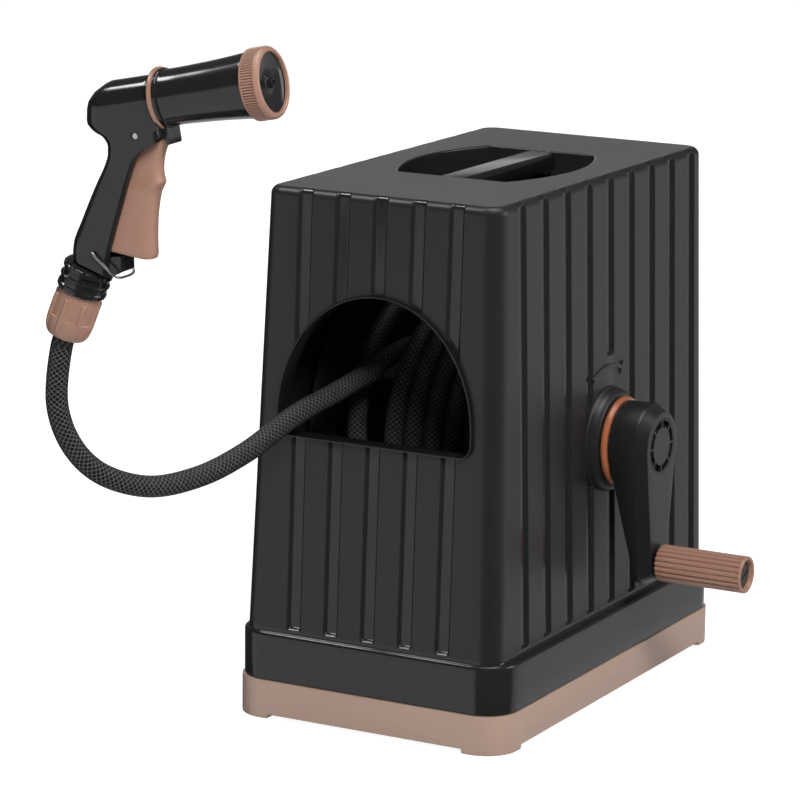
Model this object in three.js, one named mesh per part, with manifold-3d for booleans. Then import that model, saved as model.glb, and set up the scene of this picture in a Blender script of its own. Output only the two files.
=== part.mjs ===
import * as THREE from 'three';
import { mergeVertices } from 'three/addons/utils/BufferGeometryUtils.js';
import { ConvexGeometry } from 'three/addons/geometries/ConvexGeometry.js';
import Module from 'manifold-3d';

const wasm = await Module();
wasm.setup();

// Hose reel box with a spray gun on the end of its hose.
// Millimetres, +Z up. The window wall faces -Y and the crank is on the +X side.
// Every piece is drawn about the middle of the base, and the group moves it to the origin.

// Shared sizes
const gap = 0.3;
const overrun = 1;
const hose_diameter = 15;
const screw_radius = 2.2;
const screw_hole_radius = screw_radius + gap;
const screw_head_radius = 4.5;
const screw_head_height = 3;
const round_steps = 16;
const large_round_steps = 32;

// Places measured out from a face, each by its own step
function places(face, steps) {
  return Object.fromEntries(Object.entries(steps).map(([name, step]) => [name, face + step]));
}

// Base tray
const tray = {
  width: 218,
  depth: 359,
  corner: 25,
  foot_height: 3,
  foot_length: 38,
  top: 28,
  wall: 4,
  floor: 3,
  lip_height: 6,
  lip_wall: 2,
  boss_radius: 7.5,
  boss_top: 52,
  boss_inset: 22,
  boss_cap: 6,
  side_ledge: 1,
  end_ledge: 1.5,
};

// Cover: a skirt that stands on the tray, and four walls that lean in above it
const cover = {
  height: 380,
  wall: 4,
  skirt_width: tray.width - 2 * tray.side_ledge,
  skirt_depth: tray.depth - 2 * tray.end_ledge,
  skirt_corner: tray.corner,
  skirt_top: 60,
  shoulder_round: 3,
  wall_bottom: 67,
  wall_corner: 14,
  side_shoulder: 6.8,
  front_shoulder: 3,
  back_shoulder: 5.5,
  side_lean: 8.9,
  front_lean: 13.2,
  back_lean: 2.1,
  top_round: 6,
  block_height: 10,
};
cover.low_width = cover.skirt_width - 2 * cover.side_shoulder;
cover.low_front = cover.skirt_depth / 2 - cover.front_shoulder;
cover.low_back = cover.skirt_depth / 2 - cover.back_shoulder;
cover.top_width = cover.low_width - 2 * cover.side_lean;
cover.top_front = cover.low_front - cover.front_lean;
cover.top_back = cover.low_back - cover.back_lean;

// Grooves pressed into the four walls
const groove = {
  depth: 2.4,
  bevel: 1.6,
  front_width: 9.5,
  front_pitch: 29.6,
  front_count: 5,
  front_top_margin: 4,
  side_width: 12,
  side_pitch: 34.4,
  side_count: 9,
  side_centre: 8,
  side_top_margin: 3,
  bottom_margin: 2,
  pad_top: 252,
  pad_bottom: 150,
};

// Hose window in the front wall
const hose_window = {
  side_margin: 21.55,
  arch_height: 97,
  arch_base: 213,
  sill: 207.5,
  corner: 8,
  rim_wall: 1.7,
  rim_proud: 3,
  rim_inside: 12,
  centre: 1,
};
hose_window.half_width = wallHalfWidth(hose_window.arch_base) - hose_window.side_margin;

// Well in the top, and the carrying handle across it
const well = {
  front: -59,
  back: 82,
  end_half_width: 43,
  side_half_width: 62,
  wall: 3,
  depth: 20,
};
const handle = {
  width: 24,
  top_width: 16,
  height: 17,
  shoulder_share: 0.35,
  foot_share: 0.6,
  below_top: 0.6,
  screw_length: 15,
  screw_below_top: 9,
};

// Reel axis, and the collars around it on both side walls
const reel = {
  axis_y: 4,
  axis_z: 189,
};
const collar_steps = {
  start: -5.23,
  end: 7.87,
};
const collar = {
  bore_radius: 26,
  foot_radius: 37.5,
  rim_radius: 33,
  ...places(wallHalfWidth(reel.axis_z), collar_steps),
};
const bush = {
  radius: collar.bore_radius - gap,
  flange_radius: 30,
  flange_thickness: 2.6,
  bore_radius: 12.4,
  flange_face: collar.start - gap,
};

// Drum, in two halves that meet in the middle
const drum = {
  flange_radius: 118,
  flange_thickness: 3.5,
  wall_clearance: 7.4,
  core_radius: 44.9,
  core_wall: 3,
  hub_radius: 17,
  hub_length: 26,
  hub_play: 1.6,
  boss_radius: 5,
  boss_circle: 33,
  boss_seat: 12,
  screw_length: 30,
  screw_slimness_share: 0.88,
  screw_count: 3,
};
drum.flange_inner_face = wallHalfWidth(reel.axis_z + drum.flange_radius)
  - cover.wall - drum.wall_clearance - drum.flange_thickness;
drum.hub_end = bush.flange_face - bush.flange_thickness - drum.hub_play;
drum.hub_inner_end = drum.hub_end - drum.hub_length;

// Crank arm, its trim ring and its hub cap
const crank_steps = {
  ring_start: 0.5,
  hub_back: 7.4,
  end_back: 20.4,
  socket_end: 20.4,
  screw_seat: 23.4,
  shoulder: 26.4,
  cap_seat: 30.4,
  face: 34.4,
};
const crank = {
  hub_radius: 30,
  hub_face_radius: 24.5,
  arm_length: 85.5,
  end_radius: 17,
  end_face_radius: 12.5,
  ring_radius: 32.5,
  ring_round: 2.2,
  screw_room_radius: 16.5,
  screw_length: 20,
  cap_radius: 19.8,
  cap_slot_outer_radius: 18.6,
  cap_slot_inner_radius: 13.7,
  cap_spoke: 1.3,
  cap_slot_count: 8,
  ...places(collar.end, crank_steps),
};

// Crank shaft: square in the drum and in the crank, round in its bush
const shaft = {
  square: 17,
  square_hole: 17.6,
  radius: 12.1,
  inner_end: drum.hub_inner_end,
  outer_end: crank.socket_end - gap,
};

// Grip and the pin that it turns on
const grip_steps = {
  start: 2,
  end: 69.3,
};
const grip = {
  radius: 13.4,
  flute_depth: 0.9,
  flute_count: 20,
  ...places(crank.face, grip_steps),
  bore_radius: 4.4,
  recess_radius: 10.6,
  recess_depth: 10.5,
  pin_radius: 4,
  pin_head_radius: 9.6,
  pin_head_height: 5,
  pin_slot_width: 1.6,
  pin_slot_depth: 1.5,
  pin_collar_radius: 7,
};

// Water inlet on the side away from the crank
const inlet_steps = {
  body_start: 0.5,
  ring_place: 6.4,
  axle_end: 12.4,
  body_end: 18.4,
  nipple_neck_start: 23.4,
  nipple_neck_end: 27.4,
  nipple_end: 34.4,
};
const inlet = {
  axle_radius: 12,
  axle_bore: 7,
  branch_radius: 8.5,
  branch_place: 50,
  body_radius: 19,
  nipple_radius: 8.6,
  nipple_neck_radius: 6.8,
  nipple_bore: 5,
  ring_radius: 1.4,
  flange_radius: 24,
  flange_thickness: 4,
  ...places(collar.end, inlet_steps),
};

// Wound hose: a plain core, and the outer layer that winds over it
const winding = {
  layer_radius: 92,
  core_radius: 84.4,
  turn_gap: 0.7,
  steps_per_loop: 24,
  sides: 6,
  lead_x: -38.5,
  lead_angle: THREE.MathUtils.degToRad(118),
  lead_length: 58,
  lead_drift_share: -0.06,
};
winding.first_x = drum.flange_inner_face - gap - hose_diameter / 2;
winding.loops = Math.floor((winding.first_x - winding.lead_x) / (hose_diameter + winding.turn_gap));

// Free stretch of hose, from the winding's lead to the nut under the spray gun
const hose_sides = 10;
const hose_step = 2 * hose_diameter;
const hose_route = [
  [-44.6, -106, 238.2],
  [-50.3, -134, 231.5],
  [-60, -172, 222],
  [-71.5, -221, 203.5],
  [-84, -262, 193.5],
  [-101, -300, 192.5],
  [-120, -330, 206],
  [-132.5, -344, 226],
  [-139.5, -350.5, 254],
];

// Spray gun, in its own frame: X along the barrel, Z up, origin on the trigger pin
const gun = {
  pin: [-72.3, -346.6, 441.5],
  yaw: THREE.MathUtils.degToRad(4.7),
  pitch: THREE.MathUtils.degToRad(11.4),
  reach: 88,
  width: 27,
  edge_round: 6,
  edge_round_share: 0.6,
  shell_radius: 16.5,
  shell_end_share: 0.7,
  shell_round_share: 0.6,
  barrel_axis: 20.6,
  shell_front: 15.2,
  shell_back: -21,
  spigot_radius: 10.7,
  spigot_back: 3,
  stem_guide_back: -18.6,
  slot_width: 19.8,
  foot_bore_radius: 7.4,
  foot_bore_depth: 15,
};
const barrel = {
  ring_start: 15.5,
  ring_end: 19,
  ring_radius: 20.8,
  flange_start: 19.3,
  flange_end: 22,
  flange_radius: 19.6,
  radius: 17.8,
  waist: 44,
  waist_radius: 18.3,
  flare_start: 72,
  flare_start_radius: 19.8,
  flare_radius: 20.9,
  end: 93.1,
  bore_radius: 15,
  spigot_bore: 8,
  lug_width: 12,
};
const dial = {
  start: 84.6,
  end: 98.8,
  radius: 23.6,
  lip_radius: 19.6,
  lip_start: 96.3,
  face_start: 93.4,
  face_radius: 20.9,
  face_dish: 1.8,
  orifice_radius: 2,
  boss_radius: 5,
  boss_end: 98.5,
  round: 1.8,
};
const stem = {
  radius: 3,
  back: -15,
  front: 90,
  head_radius: 8,
  head_start: 74,
  head_end: 84,
};
const trigger = {
  width: 19,
  edge_round: 4,
  eye_radius: 5,
  pin_radius: 2.2,
  pin_length: 28.4,
};
const latch = {
  wire_radius: 0.9,
  hole_radius: 1.3,
  half_span: 15,
  steps: 30,
  sides: 5,
};

// Adaptor, nut and hose end, along one axis under the handle
const tail = {
  start: [-57.7, -79.9],
  direction: new THREE.Vector2(-0.54, -0.842).normalize(),
  adaptor_radius: 17,
  adaptor_groove: 1.6,
  adaptor_length: 19,
  spigot_radius: 7,
  spigot_length: 13,
  thread_radius: 12,
  thread_length: 14,
  bore: 4.5,
  nut_gap: 0.4,
  nut_length: 32.6,
  nut_neck_radius: 15,
  nut_radius: 16.8,
  nut_end_radius: 13.4,
  nut_neck_share: 0.15,
  nut_waist_share: 0.8,
  nut_rib: 1.4,
  nut_rib_count: 8,
  nut_hole: 5.5,
};

// Outlines drawn in shares of the gun's reach, from the pin
const handle_outline_shares = [
  [-0.17, 0.428], [0.2, 0.428], [0.2, 0.12], [0.18, 0], [0.157, -0.045], [0.09, -0.06], [0.015, -0.09],
  [-0.027, -0.164], [-0.135, -0.34], [-0.239, -0.533], [-0.342, -0.728], [-0.395, -0.84],
  [-0.31, -0.92], [-0.36, -1.03], [-0.44, -1.03], [-0.737, -0.81], [-0.682, -0.68], [-0.592, -0.545],
  [-0.487, -0.395], [-0.357, -0.213], [-0.275, -0.105], [-0.255, -0.03], [-0.285, 0.05],
  [-0.35, 0.106], [-0.396, 0.144], [-0.392, 0.207], [-0.353, 0.3], [-0.295, 0.36],
];
const slot_outline_shares = [
  [0.4, -0.01], [0.4, -0.96], [-0.3, -0.905], [-0.45, -0.86], [-0.62, -0.79], [-0.62, -0.67],
  [-0.33, -0.31], [-0.12, -0.1], [-0.09, 0.02], [-0.05, 0.085], [0.05, 0.085], [0.12, 0.03],
];
const trigger_outline_shares = [
  [0.1, -0.035], [0.175, -0.05], [0.11, -0.153], [0.067, -0.275], [0.06, -0.375], [0.022, -0.425],
  [-0.045, -0.59], [-0.095, -0.807], [-0.112, -0.91], [-0.135, -0.928], [-0.282, -0.888], [-0.412, -0.83],
  [-0.46, -0.8], [-0.34, -0.58], [-0.2, -0.34], [-0.07, -0.13], [-0.045, -0.04], [0.03, -0.02],
];
const lug_outline_shares = [
  [0.192, -0.02], [0.222, -0.02], [0.222, 0.045], [0.244, 0.045], [0.244, -0.068], [0.227, -0.108],
  [0.199, -0.119], [0.192, -0.09],
];
const wire_path_shares = [
  [-0.522, 0.72, -0.811], [-0.522, 1, -0.811], [-0.49, 1, -0.86], [-0.43, 0.98, -0.975],
  [-0.39, 0.95, -1.03], [-0.32, 0.85, -1.06], [-0.28, 0.6, -1.05], [-0.265, 0.25, -1.045],
];

// Colours
const black_plastic = { color: 0x2c2d2f, roughness: 0.5, metalness: 0 };
const gloss_black = { color: 0x202123, roughness: 0.25, metalness: 0 };
const bronze_plastic = { color: 0x9a6f5d, roughness: 0.5, metalness: 0 };
const hose_rubber = { color: 0x232426, roughness: 0.75, metalness: 0 };
const steel = { color: 0xc4c6c8, roughness: 0.3, metalness: 0.9 };
const seal_rubber = { color: 0x161617, roughness: 0.85, metalness: 0 };

// Turns a closed geometry into a solid that can be joined and cut
function solid(geometry) {
  let bare = geometry.clone();
  bare.deleteAttribute('normal');
  bare.deleteAttribute('uv');
  bare = mergeVertices(bare);
  const vertProperties = new Float32Array(bare.attributes.position.array);
  const triVerts = new Uint32Array(bare.index.array);
  return new wasm.Manifold(new wasm.Mesh({ numProp: 3, vertProperties, triVerts }));
}

function geometryOf(body) {
  const result = body.getMesh();
  const geometry = new THREE.BufferGeometry();
  geometry.setAttribute('position', new THREE.BufferAttribute(result.vertProperties, result.numProp));
  geometry.setIndex(new THREE.BufferAttribute(result.triVerts, 1));
  return geometry;
}

function named(name, shape, finish) {
  const geometry = shape.isBufferGeometry ? shape : geometryOf(shape);
  const mesh = new THREE.Mesh(geometry, new THREE.MeshStandardMaterial(finish));
  mesh.name = name;
  return mesh;
}

function joined(bodies) {
  return bodies.reduce((whole, body) => whole.add(body));
}

// A box between two corners
function block(low, high) {
  const geometry = new THREE.BoxGeometry(high[0] - low[0], high[1] - low[1], high[2] - low[2]);
  geometry.translate((low[0] + high[0]) / 2, (low[1] + high[1]) / 2, (low[2] + high[2]) / 2);
  return solid(geometry);
}

// Repeats a profile's first point, so that a ring around an open bore is one closed skin
function closed(profile) {
  return [...profile, profile[0]];
}

// A solid whose faces point out, whichever way its geometry was drawn
function oriented(geometry) {
  const body = solid(geometry);
  if (body.volume() > 0) {
    return body;
  }
  const flipped = mergeVertices(geometry);
  flipped.index.array.reverse();
  return solid(flipped);
}

// Turns a profile of [radius, place] points about an axis along X, the reel's axis if none is given
function turned(profile, steps = round_steps, axis_y = reel.axis_y, axis_z = reel.axis_z) {
  const points = profile.map(([radius, place]) => new THREE.Vector2(radius, place));
  const geometry = new THREE.LatheGeometry(points, steps);
  geometry.rotateZ(-Math.PI / 2);
  geometry.translate(0, axis_y, axis_z);
  return oriented(geometry);
}

function rod(radius, start, end, steps, axis_y, axis_z) {
  return turned([[0, start], [radius, start], [radius, end], [0, end]], steps, axis_y, axis_z);
}

// A screw along Z, its head below and its tip above
function screw(head_seat, length) {
  const points = [
    [0, -screw_head_height], [screw_head_radius, -screw_head_height], [screw_head_radius, 0],
    [screw_radius, 0], [screw_radius, length - screw_radius], [0, length],
  ].map(([radius, place]) => new THREE.Vector2(radius, place));
  const geometry = new THREE.LatheGeometry(points, round_steps / 2);
  geometry.rotateX(Math.PI / 2);
  geometry.translate(0, 0, head_seat);
  return geometry;
}

// Joins rings of the same number of points into one closed skin, capped at both ends
function ringStack(rings) {
  const count = rings[0].length;
  const positions = rings.flat().flatMap((point) => [point.x, point.y, point.z]);
  const index = [];
  for (let ring = 0; ring + 1 < rings.length; ring += 1) {
    for (let side = 0; side < count; side += 1) {
      const next = (side + 1) % count;
      const a = ring * count + side;
      const b = ring * count + next;
      index.push(a, b, b + count, a, b + count, a + count);
    }
  }
  const last = (rings.length - 1) * count;
  for (let side = 1; side + 1 < count; side += 1) {
    index.push(0, side + 1, side);
    index.push(last, last + side, last + side + 1);
  }
  const geometry = new THREE.BufferGeometry();
  geometry.setAttribute('position', new THREE.Float32BufferAttribute(positions, 3));
  geometry.setIndex(index);
  return geometry;
}

// A level ring: a rectangle from front to back with round corners
function roundedRing(half_width, front, back, corner, z) {
  const corner_steps = 4;
  const corners = [
    [half_width - corner, front + corner, -Math.PI / 2],
    [half_width - corner, back - corner, 0],
    [-half_width + corner, back - corner, Math.PI / 2],
    [-half_width + corner, front + corner, Math.PI],
  ];
  return corners.flatMap(([x, y, start]) => Array.from({ length: corner_steps + 1 }, (_, step) => {
    const angle = start + step / corner_steps * Math.PI / 2;
    return new THREE.Vector3(x + corner * Math.cos(angle), y + corner * Math.sin(angle), z);
  }));
}

// Where the leaning walls stand at a height
function riseShare(z) {
  return (z - cover.wall_bottom) / (cover.height - cover.wall_bottom);
}

function wallHalfWidth(z) {
  return THREE.MathUtils.lerp(cover.low_width, cover.top_width, riseShare(z)) / 2;
}

function wallFront(z) {
  return -THREE.MathUtils.lerp(cover.low_front, cover.top_front, riseShare(z));
}

function wallBack(z) {
  return THREE.MathUtils.lerp(cover.low_back, cover.top_back, riseShare(z));
}

const wall_rise = cover.height - cover.wall_bottom;
const front_lean = Math.atan((cover.low_front - cover.top_front) / wall_rise);

// The cover's skin, moved in by an inset
function coverSkin(inset, bottom, top) {
  const skirt = (extra, z) => roundedRing(
    cover.skirt_width / 2 - inset - extra,
    -cover.skirt_depth / 2 + inset + extra,
    cover.skirt_depth / 2 - inset - extra,
    cover.skirt_corner - inset - extra,
    z,
  );
  const walls = (extra, z) => roundedRing(
    wallHalfWidth(z) - inset - extra,
    wallFront(z) + inset + extra,
    wallBack(z) - inset - extra,
    cover.wall_corner - inset,
    z,
  );
  const rings = [
    skirt(0, bottom),
    skirt(0, cover.skirt_top - inset),
    skirt(cover.shoulder_round / 2, cover.skirt_top + cover.shoulder_round - inset),
    walls(0, cover.wall_bottom - inset),
  ];
  if (inset === 0) {
    const edge_share = 0.3;
    rings.push(
      walls(0, top - cover.top_round),
      walls(cover.top_round * edge_share, top - cover.top_round * edge_share),
      walls(cover.top_round, top),
    );
  } else {
    rings.push(walls(0, top));
  }
  return solid(ringStack(rings));
}

// One groove down a wall: skinPoint gives the point at a place across the wall, a way out of it and a height
function grooveCutter(centre, width, bottom, top, skinPoint) {
  const ring = (z) => {
    const outer = width / 2 + groove.bevel * overrun / groove.depth;
    const inner = width / 2 - groove.bevel;
    return [
      skinPoint(centre - inner, -groove.depth, z),
      skinPoint(centre - outer, overrun, z),
      skinPoint(centre + outer, overrun, z),
      skinPoint(centre + inner, -groove.depth, z),
    ];
  };
  return oriented(ringStack([ring(bottom), ring(top)]));
}

function evenPlaces(count, pitch, centre) {
  return Array.from({ length: count }, (_, number) => centre + (number - (count - 1) / 2) * pitch);
}

function grooveCutters() {
  const bottom = cover.wall_bottom + groove.bottom_margin;
  const cutters = [];
  const front_top = cover.height - groove.front_top_margin;
  evenPlaces(groove.front_count, groove.front_pitch, 0).forEach((place) => {
    const onFront = (x, out, z) => new THREE.Vector3(x, wallFront(z) - out, z);
    const onBack = (x, out, z) => new THREE.Vector3(x, wallBack(z) + out, z);
    cutters.push(grooveCutter(place, groove.front_width, bottom, front_top, onFront));
    cutters.push(grooveCutter(place, groove.front_width, bottom, front_top, onBack));
  });
  const side_top = cover.height - groove.side_top_margin;
  const middle = (groove.side_count - 1) / 2;
  evenPlaces(groove.side_count, groove.side_pitch, groove.side_centre).forEach((place, number) => {
    [1, -1].forEach((side) => {
      const onSide = (y, out, z) => new THREE.Vector3(side * (wallHalfWidth(z) + out), y, z);
      const stretches = number === middle
        ? [[bottom, groove.pad_bottom], [groove.pad_top, side_top]]
        : [[bottom, side_top]];
      stretches.forEach(([low, high]) => {
        cutters.push(grooveCutter(place, groove.side_width, low, high, onSide));
      });
    });
  });
  return joined(cutters);
}

// The window's arch, grown outwards by a margin, as a prism through the front wall
function windowPrism(margin, from, to) {
  const half = hose_window.half_width + margin;
  const corner = hose_window.corner + margin;
  const sill = hose_window.sill - margin;
  const shape = new THREE.Shape();
  shape.moveTo(-half + corner, sill);
  shape.lineTo(half - corner, sill);
  shape.absarc(half - corner, sill + corner, corner, -Math.PI / 2, 0, false);
  shape.absellipse(0, hose_window.arch_base + corner, half, hose_window.arch_height - hose_window.corner,
    0, Math.PI, false);
  shape.absarc(-half + corner, sill + corner, corner, Math.PI, Math.PI * 3 / 2, false);
  const geometry = new THREE.ExtrudeGeometry(shape, {
    depth: to - from, bevelEnabled: false, curveSegments: 8,
  });
  geometry.rotateX(Math.PI / 2);
  geometry.translate(0, to, -hose_window.sill);
  geometry.rotateX(-front_lean);
  geometry.translate(hose_window.centre, wallFront(hose_window.sill), hose_window.sill);
  return oriented(geometry);
}

// The well's barrel-shaped outline, grown outwards by a margin, between two heights
function wellPrism(margin, low, high) {
  const front = well.front - margin;
  const back = well.back + margin;
  const half = well.end_half_width + margin;
  const bulge = 2 * (well.side_half_width + margin) - half;
  const middle = (front + back) / 2;
  const shape = new THREE.Shape();
  shape.moveTo(-half, front);
  shape.lineTo(half, front);
  shape.quadraticCurveTo(bulge, middle, half, back);
  shape.lineTo(-half, back);
  shape.quadraticCurveTo(-bulge, middle, -half, front);
  const geometry = new THREE.ExtrudeGeometry(shape, {
    depth: high - low, bevelEnabled: false, curveSegments: 10,
  });
  geometry.translate(0, 0, low);
  return solid(geometry);
}

function screwPlaces() {
  const x = tray.width / 2 - tray.boss_inset;
  const y = tray.depth / 2 - tray.boss_inset;
  return [[x, y], [-x, y], [-x, -y], [x, -y]];
}

function coverCollar(side) {
  const dome_share = 0.45;
  const profile = closed([
    [collar.bore_radius - overrun, collar.start],
    [collar.foot_radius, collar.start],
    [collar.foot_radius, wallHalfWidth(reel.axis_z)],
    [THREE.MathUtils.lerp(collar.foot_radius, collar.rim_radius, dome_share),
      THREE.MathUtils.lerp(wallHalfWidth(reel.axis_z), collar.end, 1 - dome_share)],
    [collar.rim_radius, collar.end],
    [collar.bore_radius - overrun, collar.end],
  ].map(([radius, place]) => [radius, side * place]));
  return turned(profile, large_round_steps);
}

function makeCover() {
  const bottom = tray.top + gap;
  const skin = coverSkin(0, bottom, cover.height);
  let body = skin.subtract(coverSkin(cover.wall, bottom - overrun, cover.height - cover.wall));
  body = body.subtract(grooveCutters());
  body = body.add(windowPrism(hose_window.rim_wall, -hose_window.rim_proud, hose_window.rim_inside));
  body = body.subtract(windowPrism(0, -hose_window.rim_proud - overrun, hose_window.rim_inside + overrun));
  [1, -1].forEach((side) => {
    body = body.add(coverCollar(side));
    body = body.subtract(rod(collar.bore_radius, side * (collar.start - overrun),
      side * (collar.end + overrun), large_round_steps));
  });
  body = body.add(wellPrism(well.wall, cover.height - well.depth, cover.height - overrun));
  body = body.subtract(wellPrism(0, cover.height - well.depth - overrun, cover.height + overrun));
  const block_bottom = tray.boss_top + gap;
  screwPlaces().forEach(([x, y]) => {
    const sx = Math.sign(x);
    const sy = Math.sign(y);
    const inner = [x - sx * tray.boss_radius, y - sy * tray.boss_radius];
    const outer = [sx * tray.width / 2, sy * tray.depth / 2];
    const block_top = block_bottom + cover.block_height;
    const low = [Math.min(inner[0], outer[0]), Math.min(inner[1], outer[1]), block_bottom];
    const high = [Math.max(inner[0], outer[0]), Math.max(inner[1], outer[1]), block_top];
    body = body.add(block(low, high).intersect(skin));
    const hole = new THREE.CylinderGeometry(screw_hole_radius, screw_hole_radius,
      2 * cover.block_height, round_steps / 2);
    hole.rotateX(Math.PI / 2);
    hole.translate(x, y, block_bottom);
    body = body.subtract(solid(hole));
  });
  handleScrewFrames().forEach(({ y, side }) => {
    const hole = new THREE.CylinderGeometry(screw_hole_radius, screw_hole_radius,
      2 * (well.wall + overrun), round_steps / 2);
    hole.translate(0, y + side * well.wall / 2, cover.height - handle.screw_below_top);
    body = body.subtract(solid(hole));
  });
  return named('cover_shell', body, black_plastic);
}

function makeTray() {
  const ring = (inset, z) => roundedRing(tray.width / 2 - inset, -tray.depth / 2 + inset,
    tray.depth / 2 - inset, tray.corner - inset, z);
  const outer = (low, high, inset) => solid(ringStack([ring(inset, low), ring(inset, high)]));
  let body = outer(tray.foot_height, tray.top, 0);
  body = body.subtract(outer(tray.foot_height + tray.floor, tray.top + overrun, tray.wall));
  const lipRing = (inset, z) => roundedRing(cover.skirt_width / 2 - inset, -cover.skirt_depth / 2 + inset,
    cover.skirt_depth / 2 - inset, cover.skirt_corner - inset, z);
  const lipPrism = (inset, low, high) => solid(ringStack([lipRing(inset, low), lipRing(inset, high)]));
  const lip_inset = cover.wall + gap;
  const lip_top = tray.top + tray.lip_height;
  const lip = lipPrism(lip_inset, tray.foot_height + tray.floor - gap, lip_top)
    .subtract(lipPrism(lip_inset + tray.lip_wall, tray.foot_height, lip_top + overrun));
  body = body.add(lip);
  const plan = outer(0, tray.foot_height + gap, 0);
  const half_x = tray.width / 2;
  const half_y = tray.depth / 2;
  [[1, 1], [-1, 1], [-1, -1], [1, -1]].forEach(([sx, sy]) => {
    const xs = [sx * half_x, sx * (half_x - tray.foot_length)].sort((a, b) => a - b);
    const ys = [sy * half_y, sy * (half_y - tray.foot_length)].sort((a, b) => a - b);
    body = body.add(plan.intersect(block([xs[0], ys[0], 0], [xs[1], ys[1], tray.foot_height + gap])));
  });
  const upright = (radius, low, high, x, y) => {
    const geometry = new THREE.CylinderGeometry(radius, radius, high - low, round_steps / 2);
    geometry.rotateX(Math.PI / 2);
    geometry.translate(x, y, (low + high) / 2);
    return solid(geometry);
  };
  screwPlaces().forEach(([x, y]) => {
    body = body.add(upright(tray.boss_radius, tray.foot_height, tray.boss_top, x, y));
    body = body.subtract(upright(screw_head_radius + gap, -overrun, tray.boss_top - tray.boss_cap, x, y));
    body = body.subtract(upright(screw_hole_radius, 0, tray.boss_top + overrun, x, y));
  });
  return named('base_tray', body, bronze_plastic);
}

function makeBaseScrews() {
  const seat = tray.boss_top - tray.boss_cap - gap;
  return screwPlaces().map(([x, y], number) => {
    const mesh = named(`base_screw_${number + 1}`, screw(seat, tray.boss_cap + cover.block_height), steel);
    mesh.position.set(x, y, 0);
    return mesh;
  });
}

// The two screws that hold the handle, one through each end wall of the well
function handleScrewFrames() {
  return [{ y: well.front, side: -1 }, { y: well.back, side: 1 }];
}

function makeHandle() {
  const top = cover.height - handle.below_top;
  const half = handle.width / 2;
  const flat = handle.top_width / 2;
  const foot = flat * handle.foot_share;
  const shoulder = top - handle.height * handle.shoulder_share;
  const bottom = top - handle.height;
  const shape = new THREE.Shape();
  shape.moveTo(-flat, top);
  shape.quadraticCurveTo(-half, top, -half, shoulder);
  shape.quadraticCurveTo(-half, bottom, -foot, bottom);
  shape.lineTo(foot, bottom);
  shape.quadraticCurveTo(half, bottom, half, shoulder);
  shape.quadraticCurveTo(half, top, flat, top);
  const length = well.back - well.front - 2 * gap;
  const geometry = new THREE.ExtrudeGeometry(shape, { depth: length, bevelEnabled: false, curveSegments: 5 });
  geometry.rotateX(Math.PI / 2);
  geometry.translate(0, well.back - gap, 0);
  let bar = solid(geometry);
  handleScrewFrames().forEach(({ y }) => {
    const hole = new THREE.CylinderGeometry(screw_hole_radius, screw_hole_radius,
      2 * handle.screw_length, round_steps / 2);
    hole.translate(0, y, cover.height - handle.screw_below_top);
    bar = bar.subtract(solid(hole));
  });
  return named('carry_handle', bar, black_plastic);
}

function makeHandleScrews() {
  return handleScrewFrames().map(({ y, side }, number) => {
    const mesh = named(`handle_screw_${number + 1}`, screw(0, handle.screw_length), steel);
    mesh.rotation.x = side * Math.PI / 2;
    mesh.position.set(0, y + side * (well.wall + gap), cover.height - handle.screw_below_top);
    return mesh;
  });
}

function makeBush(name, side) {
  const profile = closed([
    [bush.bore_radius, bush.flange_face - bush.flange_thickness],
    [bush.flange_radius, bush.flange_face - bush.flange_thickness],
    [bush.flange_radius, bush.flange_face],
    [bush.radius, bush.flange_face],
    [bush.radius, collar.end - gap],
    [bush.bore_radius, collar.end - gap],
  ].map(([radius, place]) => [radius, side * place]));
  return named(name, turned(profile), black_plastic);
}

function drumBossPlaces() {
  return Array.from({ length: drum.screw_count }, (_, number) => {
    const angle = number / drum.screw_count * 2 * Math.PI + Math.PI / 6;
    return [
      reel.axis_y + drum.boss_circle * Math.cos(angle),
      reel.axis_z + drum.boss_circle * Math.sin(angle),
    ];
  });
}

// One half of the drum: its flange, its half of the core, a hub and three screw bosses
function makeDrumHalf(name, side) {
  const outer_face = drum.flange_inner_face + drum.flange_thickness;
  const inner_radius = drum.core_radius - drum.core_wall;
  const profile = [
    [0, drum.hub_inner_end], [drum.hub_radius, drum.hub_inner_end],
    [drum.hub_radius, drum.flange_inner_face], [inner_radius, drum.flange_inner_face],
    [inner_radius, gap / 2], [drum.core_radius, gap / 2],
    [drum.core_radius, drum.flange_inner_face], [drum.flange_radius, drum.flange_inner_face],
    [drum.flange_radius, outer_face], [drum.hub_radius, outer_face],
    [drum.hub_radius, drum.hub_end], [0, drum.hub_end],
  ].map(([radius, place]) => [radius, side * place]);
  let body = turned(profile, large_round_steps);
  drumBossPlaces().forEach(([y, z]) => {
    body = body.add(rod(drum.boss_radius, side * gap / 2, side * outer_face, round_steps / 2, y, z));
    if (side > 0) {
      body = body.subtract(rod(screw_head_radius + gap - overrun / 2, drum.boss_seat,
        outer_face + overrun, round_steps / 2, y, z));
    }
    body = body.subtract(rod(screw_hole_radius, side * -overrun, side * drum.screw_length,
      round_steps / 2, y, z));
  });
  const half_hole = shaft.square_hole / 2;
  if (side > 0) {
    body = body.subtract(block(
      [drum.hub_inner_end - overrun, reel.axis_y - half_hole, reel.axis_z - half_hole],
      [drum.hub_end + overrun, reel.axis_y + half_hole, reel.axis_z + half_hole],
    ));
  } else {
    body = body.subtract(rod(inlet.axle_radius + gap,
      -drum.hub_end - overrun, -drum.hub_inner_end + overrun));
    body = body.subtract(branchRod(inlet.branch_radius + gap, drum.core_radius + overrun));
  }
  return named(name, body, black_plastic);
}

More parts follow.
